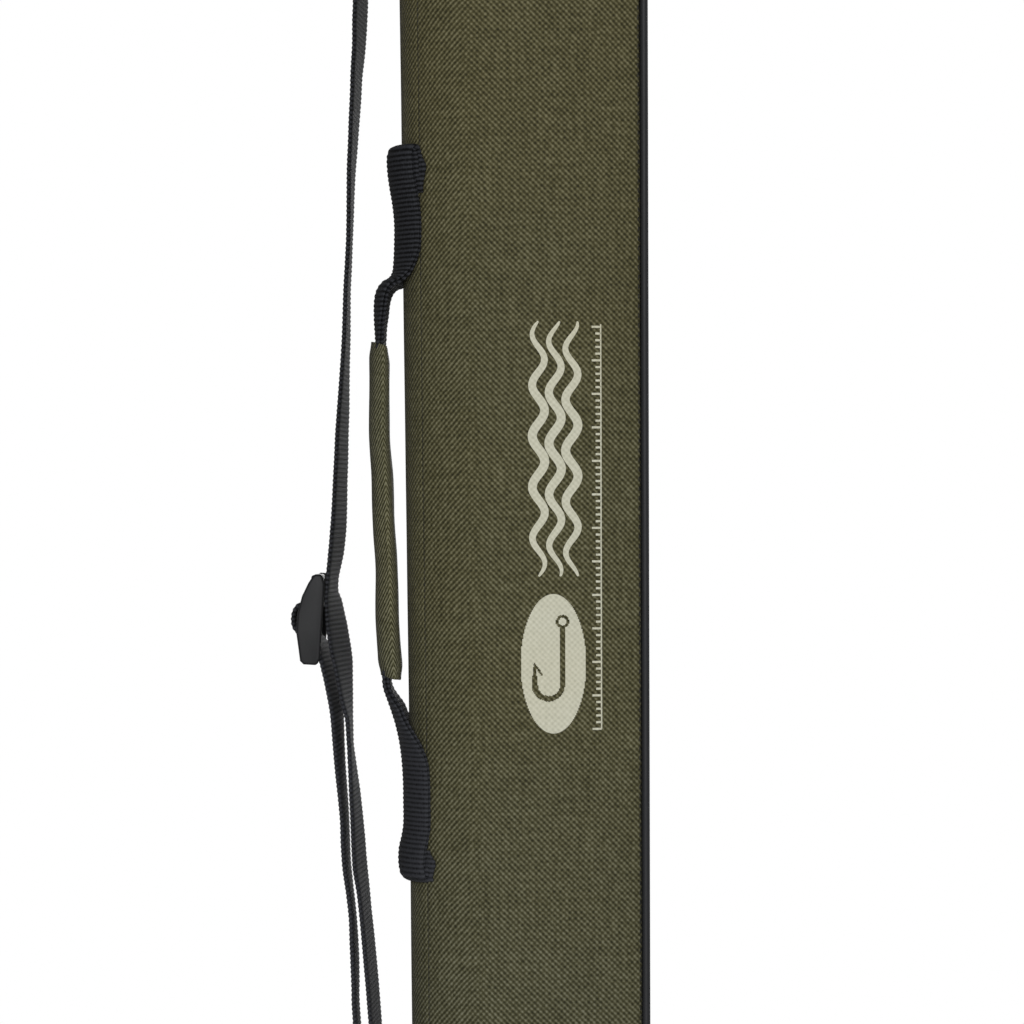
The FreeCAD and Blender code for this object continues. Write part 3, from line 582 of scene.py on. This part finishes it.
def webbing_mesh(points, width, cup=None, turn=None, thickness=WEB_THICK, offset=0.0, columns=16):
    """Closed webbing along an edge-on line, which may turn back on itself.

    width, cup and turn are functions of how far along the line (0 to 1) a section is.  cup is one
    over the radius that the section is bent to round the case; turn leans it about its line;
    offset moves the layer off the line, so that two layers can lie on each other.
    """
    line, length = along(points, RIB_PITCH / 4)
    rows = len(line) - 1

    def section(a, b):
        i = min(round(b * rows), rows)
        tangent = (line[min(i + 1, rows)] - line[max(i - 1, 0)]).normalized()
        outward = Vector((tangent.y, -tangent.x))
        s = b * length
        phase = 2 * math.pi * s / RIB_PITCH
        face = 1 if a < 0.5 else -1
        # Columns crowd towards the selvedges, which are rounded and meet between the faces.
        side = math.cos(2 * math.pi * a)
        q = side / 2 * (width(b) + 0.1 * MM * math.sin(phase))
        rim = math.sqrt(1 - abs(side) ** 16)
        relief = 0.14 * MM * math.sin(phase)
        depth = offset + face * rim * (thickness / 2 + relief)
        bend = cup(b) if cup else 0.0
        angle = q * bend
        y = math.sin(angle) / bend if abs(bend) > 1e-3 else q
        x = (1 - math.cos(angle)) / bend if abs(bend) > 1e-3 else 0.0
        y -= outward.x * depth * math.sin(angle)
        x += outward.x * depth * math.cos(angle)
        z = outward.y * depth
        lean = turn(b) if turn else 0.0
        if lean:
            x, y = x * math.cos(lean) - y * math.sin(lean), x * math.sin(lean) + y * math.cos(lean)
        return Vector((line[i].x + x, y, line[i].y + z)), (q, s)

    return grid(2 * columns, rows, section, wrap=True)


def turned(table, wide):
    """Line and turn of a strap from (x, z, seen width) rows."""
    points = [(x, z) for x, z, _ in table]
    run = [0.0]
    for a, b in zip(points, points[1:]):
        run.append(run[-1] + math.dist(a, b))
    rows = []
    for (x, z, seen), at in zip(table, run):
        rows.append((at / run[-1], -math.asin((seen * MM - WEB_THICK - EDGE_SHIFT) / wide)))
    return points, straight_steps(rows)


def constant(value):
    return lambda b: value


def steps(*pairs):
    """Function that goes smoothly through (position, value) pairs."""
    def at(b):
        for (b0, v0), (b1, v1) in zip(pairs, pairs[1:]):
            if b <= b1:
                return mix(v0, v1, ease((b - b0) / (b1 - b0)))
        return pairs[-1][1]
    return at


def straight_steps(pairs):
    """Function that goes straight from one (position, value) pair to the next."""
    def at(b):
        for (b0, v0), (b1, v1) in zip(pairs, pairs[1:]):
            if b <= b1:
                return mix(v0, v1, (b - b0) / (b1 - b0))
        return pairs[-1][1]
    return at


def point_at(points, z):
    """Where an edge-on line in millimetres passes a height, in metres."""
    for (x0, z0), (x1, z1) in zip(points, points[1:]):
        if min(z0, z1) <= z <= max(z0, z1):
            return Vector((mix(x0, x1, (z - z0) / (z1 - z0)) * MM, 0.0, z * MM))
    raise ValueError("no such height on the line")


# ---------------------------------------------------------------- operators

class RodCaseOperator(bpy.types.Operator):
    """Shared parts of the operators below."""

    bl_idname = "rodcase.base"
    bl_label = "Rod case piece"
    bl_options = {"REGISTER", "UNDO"}


class RODCASE_OT_covers(RodCaseOperator):
    """Woven covers of both halves, one cloth that runs on across the fold."""

    bl_idname = "rodcase.covers"
    bl_label = "Covers"

    def execute(self, context):
        edge = HALF_RUN - BEAD_EDGE
        join = -(FOLD_RUN - 7 * MM)
        bm = make_cover("rear", join, edge, 0.0, CASE_LENGTH, 110)
        rear = finish_piece("rear_cover_cloth", bm, "ballistic_weave", "rear_half", ["rear_cover"])
        thicken(rear, 0.9 * MM, -1)
        bm = make_cover("lid", -edge, join, LID_LIFT, CASE_LENGTH, 80)
        lid = finish_piece("lid_cover_cloth", bm, "ballistic_weave", None, ["lid_cover"])
        thicken(lid, 0.9 * MM, -1)
        middle = CASE_LENGTH / 2
        start, _ = outline(-(FOLD_RUN - 6 * MM), middle)
        end, _ = outline(-(FOLD_RUN + 6 * MM), middle)
        tuple(start)
        tuple(end)
        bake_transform(lid)
        return {"FINISHED"}


class RODCASE_OT_seam_stitches(RodCaseOperator):
    """Run of sunken stitches beside each piping bead."""

    bl_idname = "rodcase.seam_stitches"
    bl_label = "Seam stitches"

    def execute(self, context):
        pitch = context.scene.case_sizes.stitch_pitch
        for name, side, z_low in (("rear_half", 1, 0.0), ("lid", -1, LID_LIFT)):
            bm = bmesh.new()
            z = z_low + 24 * MM
            while z < CASE_LENGTH - 24 * MM:
                run = side * (HALF_RUN - 2.35 * MM)
                at, normal = outline(run, z, -0.35 * MM)
                made = bmesh.ops.create_icosphere(bm, subdivisions=1, radius=1.0)
                size = Matrix.Diagonal((0.42 * MM, 0.34 * MM, pitch * 0.40, 1.0))
                bmesh.ops.transform(bm, matrix=Matrix.Translation(at) @ size, verts=made["verts"])
                z += pitch
            piece = "%s_seam_stitches" % ("rear" if side == 1 else "lid")
            finish_piece(piece, bm, "thread_polyester", name)
        return {"FINISHED"}


class RODCASE_OT_handle(RodCaseOperator):
    """Carry handle: sewn webbing ends, free webbing and padded grip."""

    bl_idname = "rodcase.handle"
    bl_label = "Carry handle"

    def execute(self, context):
        round_spine = 1 / (SPINE_R + 1.0 * MM)
        wide = 46.0 * MM
        upper = self.layers("handle_webbing_top", HANDLE_UPPER,
                            steps((0, wide), (0.55, wide), (0.8, 40 * MM), (0.93, 30 * MM), (1, 24 * MM)),
                            steps((0, round_spine), (0.5, round_spine), (0.72, 17.0), (0.9, 12.0), (1, 0.0)),
                            ["handle_anchor_upper", "handle_webbing_upper"])
        tuple(point_at(HANDLE_UPPER, 742))
        tuple(point_at(HANDLE_UPPER, 728))
        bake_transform(upper)
        lower = self.layers("handle_webbing_bottom", HANDLE_LOWER,
                            steps((0, 22 * MM), (0.13, 26 * MM), (0.24, 40 * MM), (0.4, wide), (1, wide)),
                            steps((0, 0.0), (0.12, 2.0), (0.25, 15.0), (0.5, round_spine), (1, round_spine)),
                            ["handle_anchor_lower", "handle_webbing_lower"])
        tuple(point_at(HANDLE_LOWER, 564))
        tuple(point_at(HANDLE_LOWER, 580))
        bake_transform(lower)
        self.under_layers(round_spine)
        self.grip(context.scene.case_sizes)
        return {"FINISHED"}

    def layers(self, name, line, width, cup, nodes):
        """Two thicknesses of webbing on each other."""
        bm = bmesh.new()
        for offset, less in ((0.78 * MM, 0.0), (-0.78 * MM, 0.9 * MM)):
            add_to(bm, webbing_mesh(line, lambda b: width(b) - less, cup, thickness=1.5 * MM, offset=offset))
        return finish_piece(name, bm, "webbing_ribbed", None, nodes)

    def under_layers(self, bend):
        """The ends turned under the sewn webbing, which come out a little past its edges."""
        ends = (("handle_end_top", [(-49.9, 786), (-50.6, 781), (-50.7, 775), (-50.2, 770)], 51 * MM),
                ("handle_end_bottom", [(-47.2, 523), (-47.8, 519), (-47.6, 514), (-47.0, 511.5)], 51 * MM))
        for name, points, wide in ends:
            width = steps((0, wide - 7 * MM), (0.4, wide), (1, wide - 4 * MM))
            bm = webbing_mesh(points, width, constant(bend), thickness=1.6 * MM)
            finish_piece(name, bm, "webbing_ribbed", "rear_half")

    def grip(self, sizes):
        """Padded sleeve: flat back, crowned front, sewn ridge down the edge that faces the lid."""
        thick, wide = sizes.grip_thickness, sizes.grip_width
        line, length = along(GRIP_LINE, 1.2 * MM)
        rows = len(line) - 1
        girth = 2 * (wide - thick) + math.pi * thick

        def section(a, b):
            i = min(round(b * rows), rows)
            tangent = (line[min(i + 1, rows)] - line[max(i - 1, 0)]).normalized()
            outward = Vector((tangent.y, -tangent.x))
            if outward.x > 0:
                outward = -outward
            angle = 2 * math.pi * a - math.pi / 2
            c, s = math.cos(angle), math.sin(angle)
            end = min(b, 1 - b) * length
            full = 0.82 + 0.18 * ease(end / (6 * MM))
            dent = 1 - 0.10 * math.exp(-((b - 0.68) * 11) ** 2) * (1 if c > 0 else 0)
            out = thick / 2 * math.copysign(abs(c) ** 0.85, c) * full * dent * mix(0.9, 1.12, b)
            y = wide / 2 * math.copysign(abs(s) ** 0.8, s) * (0.95 + 0.05 * full)
            ridge = math.exp(-(math.remainder(angle + math.pi / 2, 2 * math.pi) * 7) ** 2)
            y -= 1.3 * MM * ridge
            out -= 1.9 * MM * max(-s, 0.0) ** 2
            swell = 0.35 * MM * noise.noise(Vector((a * 3, b * 9, 1.7)))
            # The cloth's lines meet in a chevron at the ridge.
            slant = (c if c > 0 else c * 0.4) * 1.6 * MM * ((1 - b) if b < 0.5 else b)
            at = line[i] + outward * (out + swell * c)
            run = math.remainder(a, 1.0) * girth
            s_along = b * length
            return Vector((at.x, y, at.y + slant)), (abs(run), s_along)

        bm = grid(40, rows, section, wrap=True)
        grip = finish_piece("handle_grip_sleeve", bm, "grip_weave", "handle",
                            ["handle_grip", "handle_core"])


class RODCASE_OT_strap(RodCaseOperator):
    """Shoulder strap: three strands of webbing and their turns round the eyes."""

    bl_idname = "rodcase.strap"
    bl_label = "Shoulder strap"

    def execute(self, context):
        wide = context.scene.case_sizes.strap_width
        for name, table, nodes in (("long", STRAP_LONG, ["strap_strand_upper", "strap_strand_right"]),
                                   ("return", STRAP_RETURN, ["strap_strand_left"])):
            points, turn = turned(table, wide)
            bm = webbing_mesh(points, constant(wide), turn=turn)
            finish_piece("strap_webbing_" + name, bm, "webbing_ribbed", "strap", nodes)
        for name, x, z in (("top", -63.2, 962.0), ("bottom", -55.7, 339.0)):
            bm = bmesh.new()
            made = bmesh.ops.create_cone(bm, segments=32, radius1=3.6 * MM, radius2=3.6 * MM, depth=wide,
                                         cap_ends=False)
            turn = Matrix.Translation((x * MM, 0, z * MM)) @ Matrix.Rotation(math.pi / 2, 4, "X")
            bmesh.ops.transform(bm, matrix=turn, verts=made["verts"])
            loop = finish_piece("strap_turn_" + name, bm, "webbing_tab", "strap")
            thicken(loop, 1.5 * MM, -1)
        return {"FINISHED"}


class RODCASE_OT_adjuster(RodCaseOperator):
    """Tri-glide adjuster with the webbing's turn round its middle bar."""

    bl_idname = "rodcase.adjuster"
    bl_label = "Tri-glide"

    def execute(self, context):
        low, high = (Vector(p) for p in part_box("strap_adjuster"))
        # The bars stand a little outside the middle of the rails.
        centre = (low + high) / 2 - Vector((1.0 * MM, 0, 0))
        tilt = Matrix.Rotation(math.radians(3.5), 4, "Y")
        place = Matrix.Translation(centre) @ tilt
        half_y = (high.y - low.y) / 2
        half_z = 17.0 * MM
        bm = bmesh.new()
        for side in (1, -1):
            self.rail(bm, side * (half_y - 1.75 * MM), half_z)
        for x, z, thick in ((1.8, half_z - 2.6 * MM, 3.4), (-0.6, 0.0, 3.2), (0.6, -half_z + 2.4 * MM, 3.4)):
            self.block(bm, (x * MM, 0, z), (thick * MM, 2 * half_y - 4 * MM, 4.4 * MM))
        bmesh.ops.transform(bm, matrix=place, verts=bm.verts)
        finish_piece("tri_glide_frame", bm, "acetal_moulded", "strap_adjuster",
                     ["strap_adjuster"])
        self.wrap(place, context.scene.case_sizes.strap_width)
        return {"FINISHED"}

    def rail(self, whole, y, half_z):
        """Side rail: flat inside, swelling outside towards the middle."""
        profile = ((-1.0, -3.4), (-0.93, -4.8), (-0.62, -5.8), (-0.3, -6.9), (0.1, -6.9), (0.5, -5.5),
                   (0.8, -3.4), (0.95, -1.9), (1.0, -1.0))
        flat = 5.3 * MM
        bm = bmesh.new()
        outer = [bm.verts.new((p[1] * MM + 2.6 * MM, 0, p[0] * half_z)) for p in profile]
        inner = [bm.verts.new((flat - (1.2 * MM if abs(z) > 0.9 else 0.0), 0, z * half_z))
                 for z in (1.0, 0.8, -0.85, -1.0)]
        face = bm.faces.new(outer + inner)
        solid = bmesh.ops.extrude_face_region(bm, geom=[face])
        fresh = [v for v in solid["geom"] if isinstance(v, bmesh.types.BMVert)]
        bmesh.ops.translate(bm, vec=(0, 3.5 * MM, 0), verts=fresh)
        bmesh.ops.recalc_face_normals(bm, faces=bm.faces)
        sharp = [edge for edge in bm.edges if edge.calc_face_angle(0.0) > 1.0]
        bmesh.ops.bevel(bm, geom=sharp, offset=0.9 * MM, segments=4, profile=0.5, affect="EDGES",
                        material=-1, clamp_overlap=True)
        bmesh.ops.translate(bm, vec=(0, y - 1.75 * MM, 0), verts=bm.verts)
        add_to(whole, bm)

    def block(self, whole, centre, size):
        """Adds one bar with rounded edges."""
        bm = bmesh.new()
        bmesh.ops.create_cube(bm, size=1.0)
        bmesh.ops.scale(bm, vec=size, verts=bm.verts)
        bmesh.ops.bevel(bm, geom=bm.edges, offset=0.9 * MM, segments=3, profile=0.5, affect="EDGES",
                        material=-1, clamp_overlap=True)
        bmesh.ops.translate(bm, vec=centre, verts=bm.verts)
        add_to(whole, bm)

    def wrap(self, place, wide):
        """Webbing that comes out of one slot, over the bar and into the other."""
        arc = [(4.4, 5.2), (1.5, 5.6), (-1.8, 5.6), (-4.4, 4.6), (-5.7, 2.4), (-6.0, -0.2), (-5.6, -2.8),
               (-4.2, -4.9), (-1.8, -5.8), (1.0, -6.2), (3.4, -7.2)]
        bm = webbing_mesh(arc, constant(wide), thickness=1.7 * MM, columns=10)
        bmesh.ops.transform(bm, matrix=place, verts=bm.verts)
        finish_piece("tri_glide_webbing", bm, "webbing_ribbed", "strap_adjuster",
                     ["adjuster_webbing"])


class RODCASE_OT_print(RodCaseOperator):
    """Plain generic print on the lid: a round badge with a hook, a wave band and a thin rule."""

    bl_idname = "rodcase.front_print"
    bl_label = "Front print"

    def execute(self, context):
        bm = bmesh.new()
        self.badge(bm, Vector((7.4 * MM, 0, 593.4 * MM)))
        self.waves(bm, 8.2 * MM, 626 * MM, 721 * MM)
        self.scale_of_ticks(bm, 23.6 * MM, 569 * MM, 720 * MM)
        self.lay(bm)
        finish_piece("lid_print", bm, "ink_on_weave", "lid")
        return {"FINISHED"}

    def ribbon(self, bm, line, width, closed=False):
        """Flat stroke of even or changing width along (x, z) points."""
        rims = []
        count = len(line)
        for i, point in enumerate(line):
            ahead = line[(i + 1) % count] if closed else line[min(i + 1, count - 1)]
            behind = line[i - 1] if closed else line[max(i - 1, 0)]
            tangent = (ahead - behind).normalized()
            normal = Vector((-tangent.z, 0, tangent.x))
            half = width(i / (count - 1)) / 2
            rims.append((bm.verts.new(point + normal * half), bm.verts.new(point - normal * half)))
        pairs = list(zip(rims, rims[1:])) + ([(rims[-1], rims[0])] if closed else [])
        for (a, b), (c, d) in pairs:
            bm.faces.new((a, b, d, c))

    def circle(self, centre, radius, start=0.0, sweep=2 * math.pi, count=96):
        closed = abs(sweep - 2 * math.pi) < 1e-6
        steps_taken = count if closed else count - 1
        return [centre + radius * Vector((math.cos(start + sweep * i / steps_taken), 0,
                                          math.sin(start + sweep * i / steps_taken))) for i in range(count)]

    def badge(self, bm, centre):
        """Upright oval with a plain hook left open in it, filled everywhere else."""
        half_x, half_z = 12.2 * MM, 26.0 * MM
        hook = self.hook(centre)
        cell = 0.4 * MM
        for i in range(round(-half_x / cell), round(half_x / cell)):
            start = None
            x = (i + 0.5) * cell
            reach = half_z * math.sqrt(max(1 - (x / half_x) ** 2, 0.0))
            count = max(2, round(2 * reach / cell))
            for j in range(count + 1):
                z = -reach + 2 * reach * j / count
                here = Vector((centre.x + x, 0, centre.z + z))
                open_here = j == count or min((here - p).length - r for p, r in hook) < 0
                if open_here and start is not None:
                    self.patch(bm, x - cell / 2, x + cell / 2, start, z, centre)
                    start = None
                elif not open_here and start is None:
                    start = z

    def patch(self, bm, x0, x1, z0, z1, centre):
        count = max(1, round((z1 - z0) / (4 * MM)))
        for i in range(count):
            a, b = mix(z0, z1, i / count), mix(z0, z1, (i + 1) / count)
            corners = [bm.verts.new((centre.x + x, 0, centre.z + z))
                       for x, z in ((x0, a), (x1, a), (x1, b), (x0, b))]
            bm.faces.new(corners)

    def hook(self, centre):
        """Points along a plain hook with the half width of its wire at each."""
        points = [(p, 0.55 * MM) for p in self.circle(centre + Vector((3.4 * MM, 0, 15.5 * MM)), 2.0 * MM, count=24)]
        points += [(centre + Vector((3.4 * MM, 0, mix(13.0, -8.0, i / 40) * MM)), 0.9 * MM) for i in range(41)]
        bend = self.circle(centre + Vector((-1.8 * MM, 0, -8.0 * MM)), 5.2 * MM, 0.0, -math.pi, 40)
        points += [(p, mix(0.9, 1.2, i / 39) * MM) for i, p in enumerate(bend)]
        points += [(bend[-1] + Vector((0, 0, 8.0 * MM * i / 20)), mix(1.2, 0.3, i / 20) * MM) for i in range(21)]
        points += [(bend[-1] + Vector((2.6 * MM * i / 8, 0, (7.5 - 3.6 * i / 8) * MM)), 0.45 * MM) for i in range(9)]
        return points

    def waves(self, bm, x, z_low, z_high):
        """Three rolling lines side by side, running up the case."""
        for number, offset in enumerate((-6.2, 0.0, 6.2)):
            count = 160
            line = []
            for i in range(count):
                z = mix(z_low, z_high, i / (count - 1))
                swing = 2.3 * MM * math.sin(2 * math.pi * (z - z_low) / (19 * MM) + number * 0.9)
                line.append(Vector((x + offset * MM + swing, 0, z)))
            self.ribbon(bm, line, lambda t: mix(0.6, 3.4, math.sin(math.pi * t) ** 0.5) * MM)

    def scale_of_ticks(self, bm, x, z_low, z_high):
        """Measuring scale: a fine line with ticks every 2.5 mm, longer every fifth."""
        count = 120
        line = [Vector((x + 1.7 * MM, 0, mix(z_low, z_high, i / (count - 1)))) for i in range(count)]
        self.ribbon(bm, line, lambda t: 0.5 * MM)
        for i in range(round((z_high - z_low) / (2.5 * MM)) + 1):
            z = z_low + i * 2.5 * MM
            reach = (3.4 if i % 5 == 0 else 2.0) * MM
            tick = [Vector((x + 1.7 * MM - reach * j / 3, 0, z)) for j in range(4)]
            self.ribbon(bm, tick, lambda t: 0.8 * MM)

    def lay(self, bm):
        """Lays flat strokes on the lid's face, a hair above the cloth."""
        bmesh.ops.subdivide_edges(bm, edges=bm.edges, cuts=1, use_grid_fill=True)
        layer = bm.loops.layers.uv.new("cloth")
        for vertex in bm.verts:
            run = -run_at_x(vertex.co.x, vertex.co.z)
            fade = ease((HALF_RUN + run - 2 * MM) / (12 * MM))
            point, _ = outline(run, vertex.co.z, unevenness(run, vertex.co.z) * fade + 0.18 * MM)
            vertex.co = point
        for face in bm.faces:
            for loop in face.loops:
                z = loop.vert.co.z
                loop[layer].uv = (-run_at_x(loop.vert.co.x, z) * scale_at(z), z)
        bmesh.ops.recalc_face_normals(bm, faces=bm.faces)
        if sum(face.normal.y for face in bm.faces) > 0:
            bmesh.ops.reverse_faces(bm, faces=bm.faces)


class RODCASE_OT_zip_coil(RodCaseOperator):
    """Teeth of the nylon coil along both zip chains."""

    bl_idname = "rodcase.zip_coil"
    bl_label = "Zip coil"

    def execute(self, context):
        pitch = context.scene.case_sizes.coil_pitch
        for name, side, label in (("rear_half", 1, "rear"), ("lid", -1, "lid")):
            nodes = [label + "_zip_chain_" + part for part in ("foot", "side", "head")]
            low, high = Vector(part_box(nodes[0])[0]), Vector(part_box(nodes[2])[1])
            bm = bmesh.new()
            depth = 2.5 * MM
            line = self.u_line(low, high, depth)
            run = 0.0
            for a, b in zip(line, line[1:]):
                length = (b - a).length
                while run < length:
                    self.tooth(bm, a.lerp(b, run / length), (b - a).normalized(), side)
                    run += pitch
                run -= length
            finish_piece(label + "_zip_coil", bm, "coil_nylon", name, nodes)
        return {"FINISHED"}

    def u_line(self, low, high, depth):
        """Middle line of a chain: lower end, rounded corner, zip side, rounded corner, upper end."""
        radius = CORNER_R - depth
        x_side = SEAM_X - depth
        z_low, z_high = low.z + 1.4 * MM, high.z - 1.4 * MM
        y = (low.y + high.y) / 2
        line = [Vector((low.x, y, z_low))]
        for centre_z, start in ((z_low + radius, -math.pi / 2), (z_high - radius, 0.0)):
            for i in range(13):
                a = start + math.pi / 2 * i / 12
                line.append(Vector((x_side - radius + radius * math.cos(a), y, centre_z + radius * math.sin(a))))
        line.append(Vector((low.x, y, z_high)))
        return line

    def tooth(self, bm, at, tangent, side):
        """One turn of the coil, with the bulged head that meets its mate."""
        made = bmesh.ops.create_cone(bm, segments=6, radius1=0.72 * MM, radius2=0.55 * MM, depth=2.9 * MM,
                                     cap_ends=True)["verts"]
        turn = Matrix.Rotation(side * -math.pi / 2, 4, "X")
        inward = Vector((tangent.z, 0, -tangent.x))
        frame_turn = Matrix((inward, Vector((0, 1, 0)), tangent)).transposed().to_4x4()
        squash = Matrix.Diagonal((1.75, 1.0, 1.0, 1.0))
        bmesh.ops.transform(bm, matrix=Matrix.Translation(at) @ frame_turn @ squash @ turn, verts=made)


class RODCASE_OT_tab_stitches(RodCaseOperator):
    """Box stitching on the sewn webbing of the handle and the strap tabs."""

    bl_idname = "rodcase.tab_stitches"
    bl_label = "Box stitches"

    def execute(self, context):
        bm = bmesh.new()
        half = 13 * MM
        for z_low, z_high, lift in ((752, 782, 2.1), (517, 543, 2.1), (1048, 1084, 3.9), (217, 253, 3.9)):
            low, high = z_low * MM, z_high * MM
            corners = [(-half, low), (half, low), (half, high), (-half, high), (-half, low), (half, high),
                       (half, low), (-half, high)]
            for a, b in zip(corners, corners[1:]):
                self.row(bm, Vector(a), Vector(b), lift * MM)
        finish_piece("box_stitches", bm, "thread_polyester", "rear_half")
        return {"FINISHED"}

    def row(self, bm, a, b, lift):
        """Stitches between two points given as run round the spine and height."""
        length = (b - a).length
        count = max(1, round(length / (3.0 * MM)))
        for i in range(count):
            at = a.lerp(b, (i + 0.5) / count)
            ahead = a.lerp(b, (i + 0.9) / count)
            here, normal = outline(at.x, at.y, lift)
            there, _ = outline(ahead.x, ahead.y, lift)
            along_stitch = (there - here).normalized()
            across = normal.cross(along_stitch).normalized()
            made = bmesh.ops.create_icosphere(bm, subdivisions=1, radius=1.0)["verts"]
            axes = Matrix((across, normal, along_stitch)).transposed().to_4x4()
            size = Matrix.Diagonal((0.32 * MM, 0.28 * MM, 1.15 * MM, 1.0))
            bmesh.ops.transform(bm, matrix=Matrix.Translation(here) @ axes @ size, verts=made)


class RODCASE_OT_finishes(RodCaseOperator):
    """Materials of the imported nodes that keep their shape."""

    bl_idname = "rodcase.finishes"
    bl_label = "Finishes"

    def execute(self, context):
        dress([half + "_band_" + part for half in ("rear", "lid") for part in ("foot", "side", "head")],
              "gusset_weave")
        dress(["rear_piping", "lid_piping"], "piping_vinyl")
        dress(["rear_zip_tape", "lid_zip_tape"], "tape_woven")
        dress(["zip_stop_upper", "zip_stop_lower"], "coil_nylon")
        dress(["spine_board_front", "spine_board_back", "rear_shoulder_board", "rear_face_board",
               "lid_shoulder_board", "lid_face_board"],
              "board_polyethylene")
        dress(["rear_lining", "lid_lining"], "lining_tricot")
        dress(["rod_band_1", "rod_band_2", "rod_band_3"], "elastic_knit")
        dress(["butt_pad", "tip_pad"], "foam_eva")
        dress(["strap_tab_upper", "strap_tab_lower"], "webbing_tab")
        dress(["snap_hook_upper", "snap_hook_lower", "hook_gate_upper", "hook_gate_lower", "swivel_eye_upper",
               "swivel_eye_lower"], "acetal_moulded")
        dress(["strap_ring_upper", "strap_ring_lower"], "ring_powder_coat")
        dress(["zip_slider_upper", "zip_slider_lower", "zip_pull_upper", "zip_pull_lower"], "zip_enamel")
        return {"FINISHED"}


class RODCASE_OT_stage(RodCaseOperator):
    """Pale floor, soft lights and the camera."""

    bl_idname = "rodcase.stage"
    bl_label = "Stage"

    def execute(self, context):
        self.floor()
        self.world(context.scene)
        middle = (0, 0, CASE_LENGTH / 2)
        self.light("key", (-0.15, -2.9, 1.0), middle, 0.8, 34.0)
        self.light("fill", (1.5, -2.3, 0.8), middle, 1.0, 1.2)
        self.light("side", (2.4, 0.9, 0.9), middle, 1.2, 6.0)
        self.light("left", (-2.3, 1.5, 0.9), middle, 1.2, 3.0)
        self.light("back", (0.2, 2.9, 1.0), middle, 1.4, 24.0)
        self.camera(context.scene)
        context.scene.view_settings.view_transform = "Standard"
        return {"FINISHED"}

    def floor(self):
        bm = bmesh.new()
        bmesh.ops.create_circle(bm, cap_ends=True, segments=96, radius=1.9)
        mesh = bpy.data.meshes.new("floor")
        bm.to_mesh(mesh)
        bm.free()
        floor = bpy.data.objects.new("floor", mesh)
        mesh.materials.append(MATERIALS["floor_paper"])
        bpy.context.scene.collection.objects.link(floor)

    def world(self, scene):
        """White for the camera, dimmer as a light."""
        world = bpy.data.worlds.new("studio")
        world.use_nodes = True
        scene.world = world
        tree = world.node_tree
        tree.nodes.clear()
        path = add(tree, "ShaderNodeLightPath")
        strength = add(tree, "ShaderNodeMix", {0: path.outputs["Is Camera Ray"], 2: 0.2, 3: 1.0})
        sky = add(tree, "ShaderNodeBackground", {"Color": (1, 1, 1, 1), "Strength": strength.outputs[0]})
        add(tree, "ShaderNodeOutputWorld", {"Surface": sky.outputs[0]})

    def light(self, name, place, target, size, power):
        data = bpy.data.lights.new(name, "AREA")
        data.shape = "DISK"
        data.size = size
        data.energy = power
        lamp = bpy.data.objects.new(name, data)
        lamp.location = place
        aim = Vector(target) - Vector(place)
        lamp.rotation_euler = aim.to_track_quat("-Z", "Y").to_euler()
        bpy.context.scene.collection.objects.link(lamp)

    def camera(self, scene):
        data = bpy.data.cameras.new("camera")
        data.lens = 150.0
        data.sensor_width = 36.0
        shown = 389.0 * MM
        camera = bpy.data.objects.new("camera", data)
        camera.location = (-7.9 * MM, -shown * data.lens / data.sensor_width, CASE_LENGTH / 2)
        camera.rotation_euler = (math.pi / 2, math.radians(0.15), 0.0)
        scene.collection.objects.link(camera)
        scene.camera = camera


class RODCASE_PT_panel(bpy.types.Panel):
    """Lists the operators in the sidebar."""

    bl_idname = "RODCASE_PT_panel"
    bl_label = "Rod case"
    bl_space_type = "VIEW_3D"
    bl_region_type = "UI"
    bl_category = "Rod case"

    def draw(self, context):
        for piece in PIECES:
            self.layout.operator(piece.bl_idname)
        for group in (context.scene.case_sizes, context.scene.case_colours):
            for name in group.bl_rna.properties.keys():
                if name not in ("rna_type", "name"):
                    self.layout.prop(group, name)


PIECES = (RODCASE_OT_stage, RODCASE_OT_finishes, RODCASE_OT_covers, RODCASE_OT_seam_stitches,
          RODCASE_OT_handle, RODCASE_OT_strap, RODCASE_OT_adjuster, RODCASE_OT_tab_stitches,
          RODCASE_OT_print, RODCASE_OT_zip_coil)
CLASSES = (CaseColours, CaseSizes) + PIECES + (RODCASE_PT_panel,)


def register():
    for item in CLASSES:
        bpy.utils.register_class(item)
    bpy.types.Scene.case_colours = bpy.props.PointerProperty(type=CaseColours)
    bpy.types.Scene.case_sizes = bpy.props.PointerProperty(type=CaseSizes)


def unregister():
    del bpy.types.Scene.case_sizes
    del bpy.types.Scene.case_colours
    for item in reversed(CLASSES):
        bpy.utils.unregister_class(item)


def main():
    register()
    make_materials()
    for piece in PIECES:
        group, call = piece.bl_idname.split(".")
        getattr(getattr(bpy.ops, group), call)()
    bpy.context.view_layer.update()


if __name__ == "__main__":
    main()
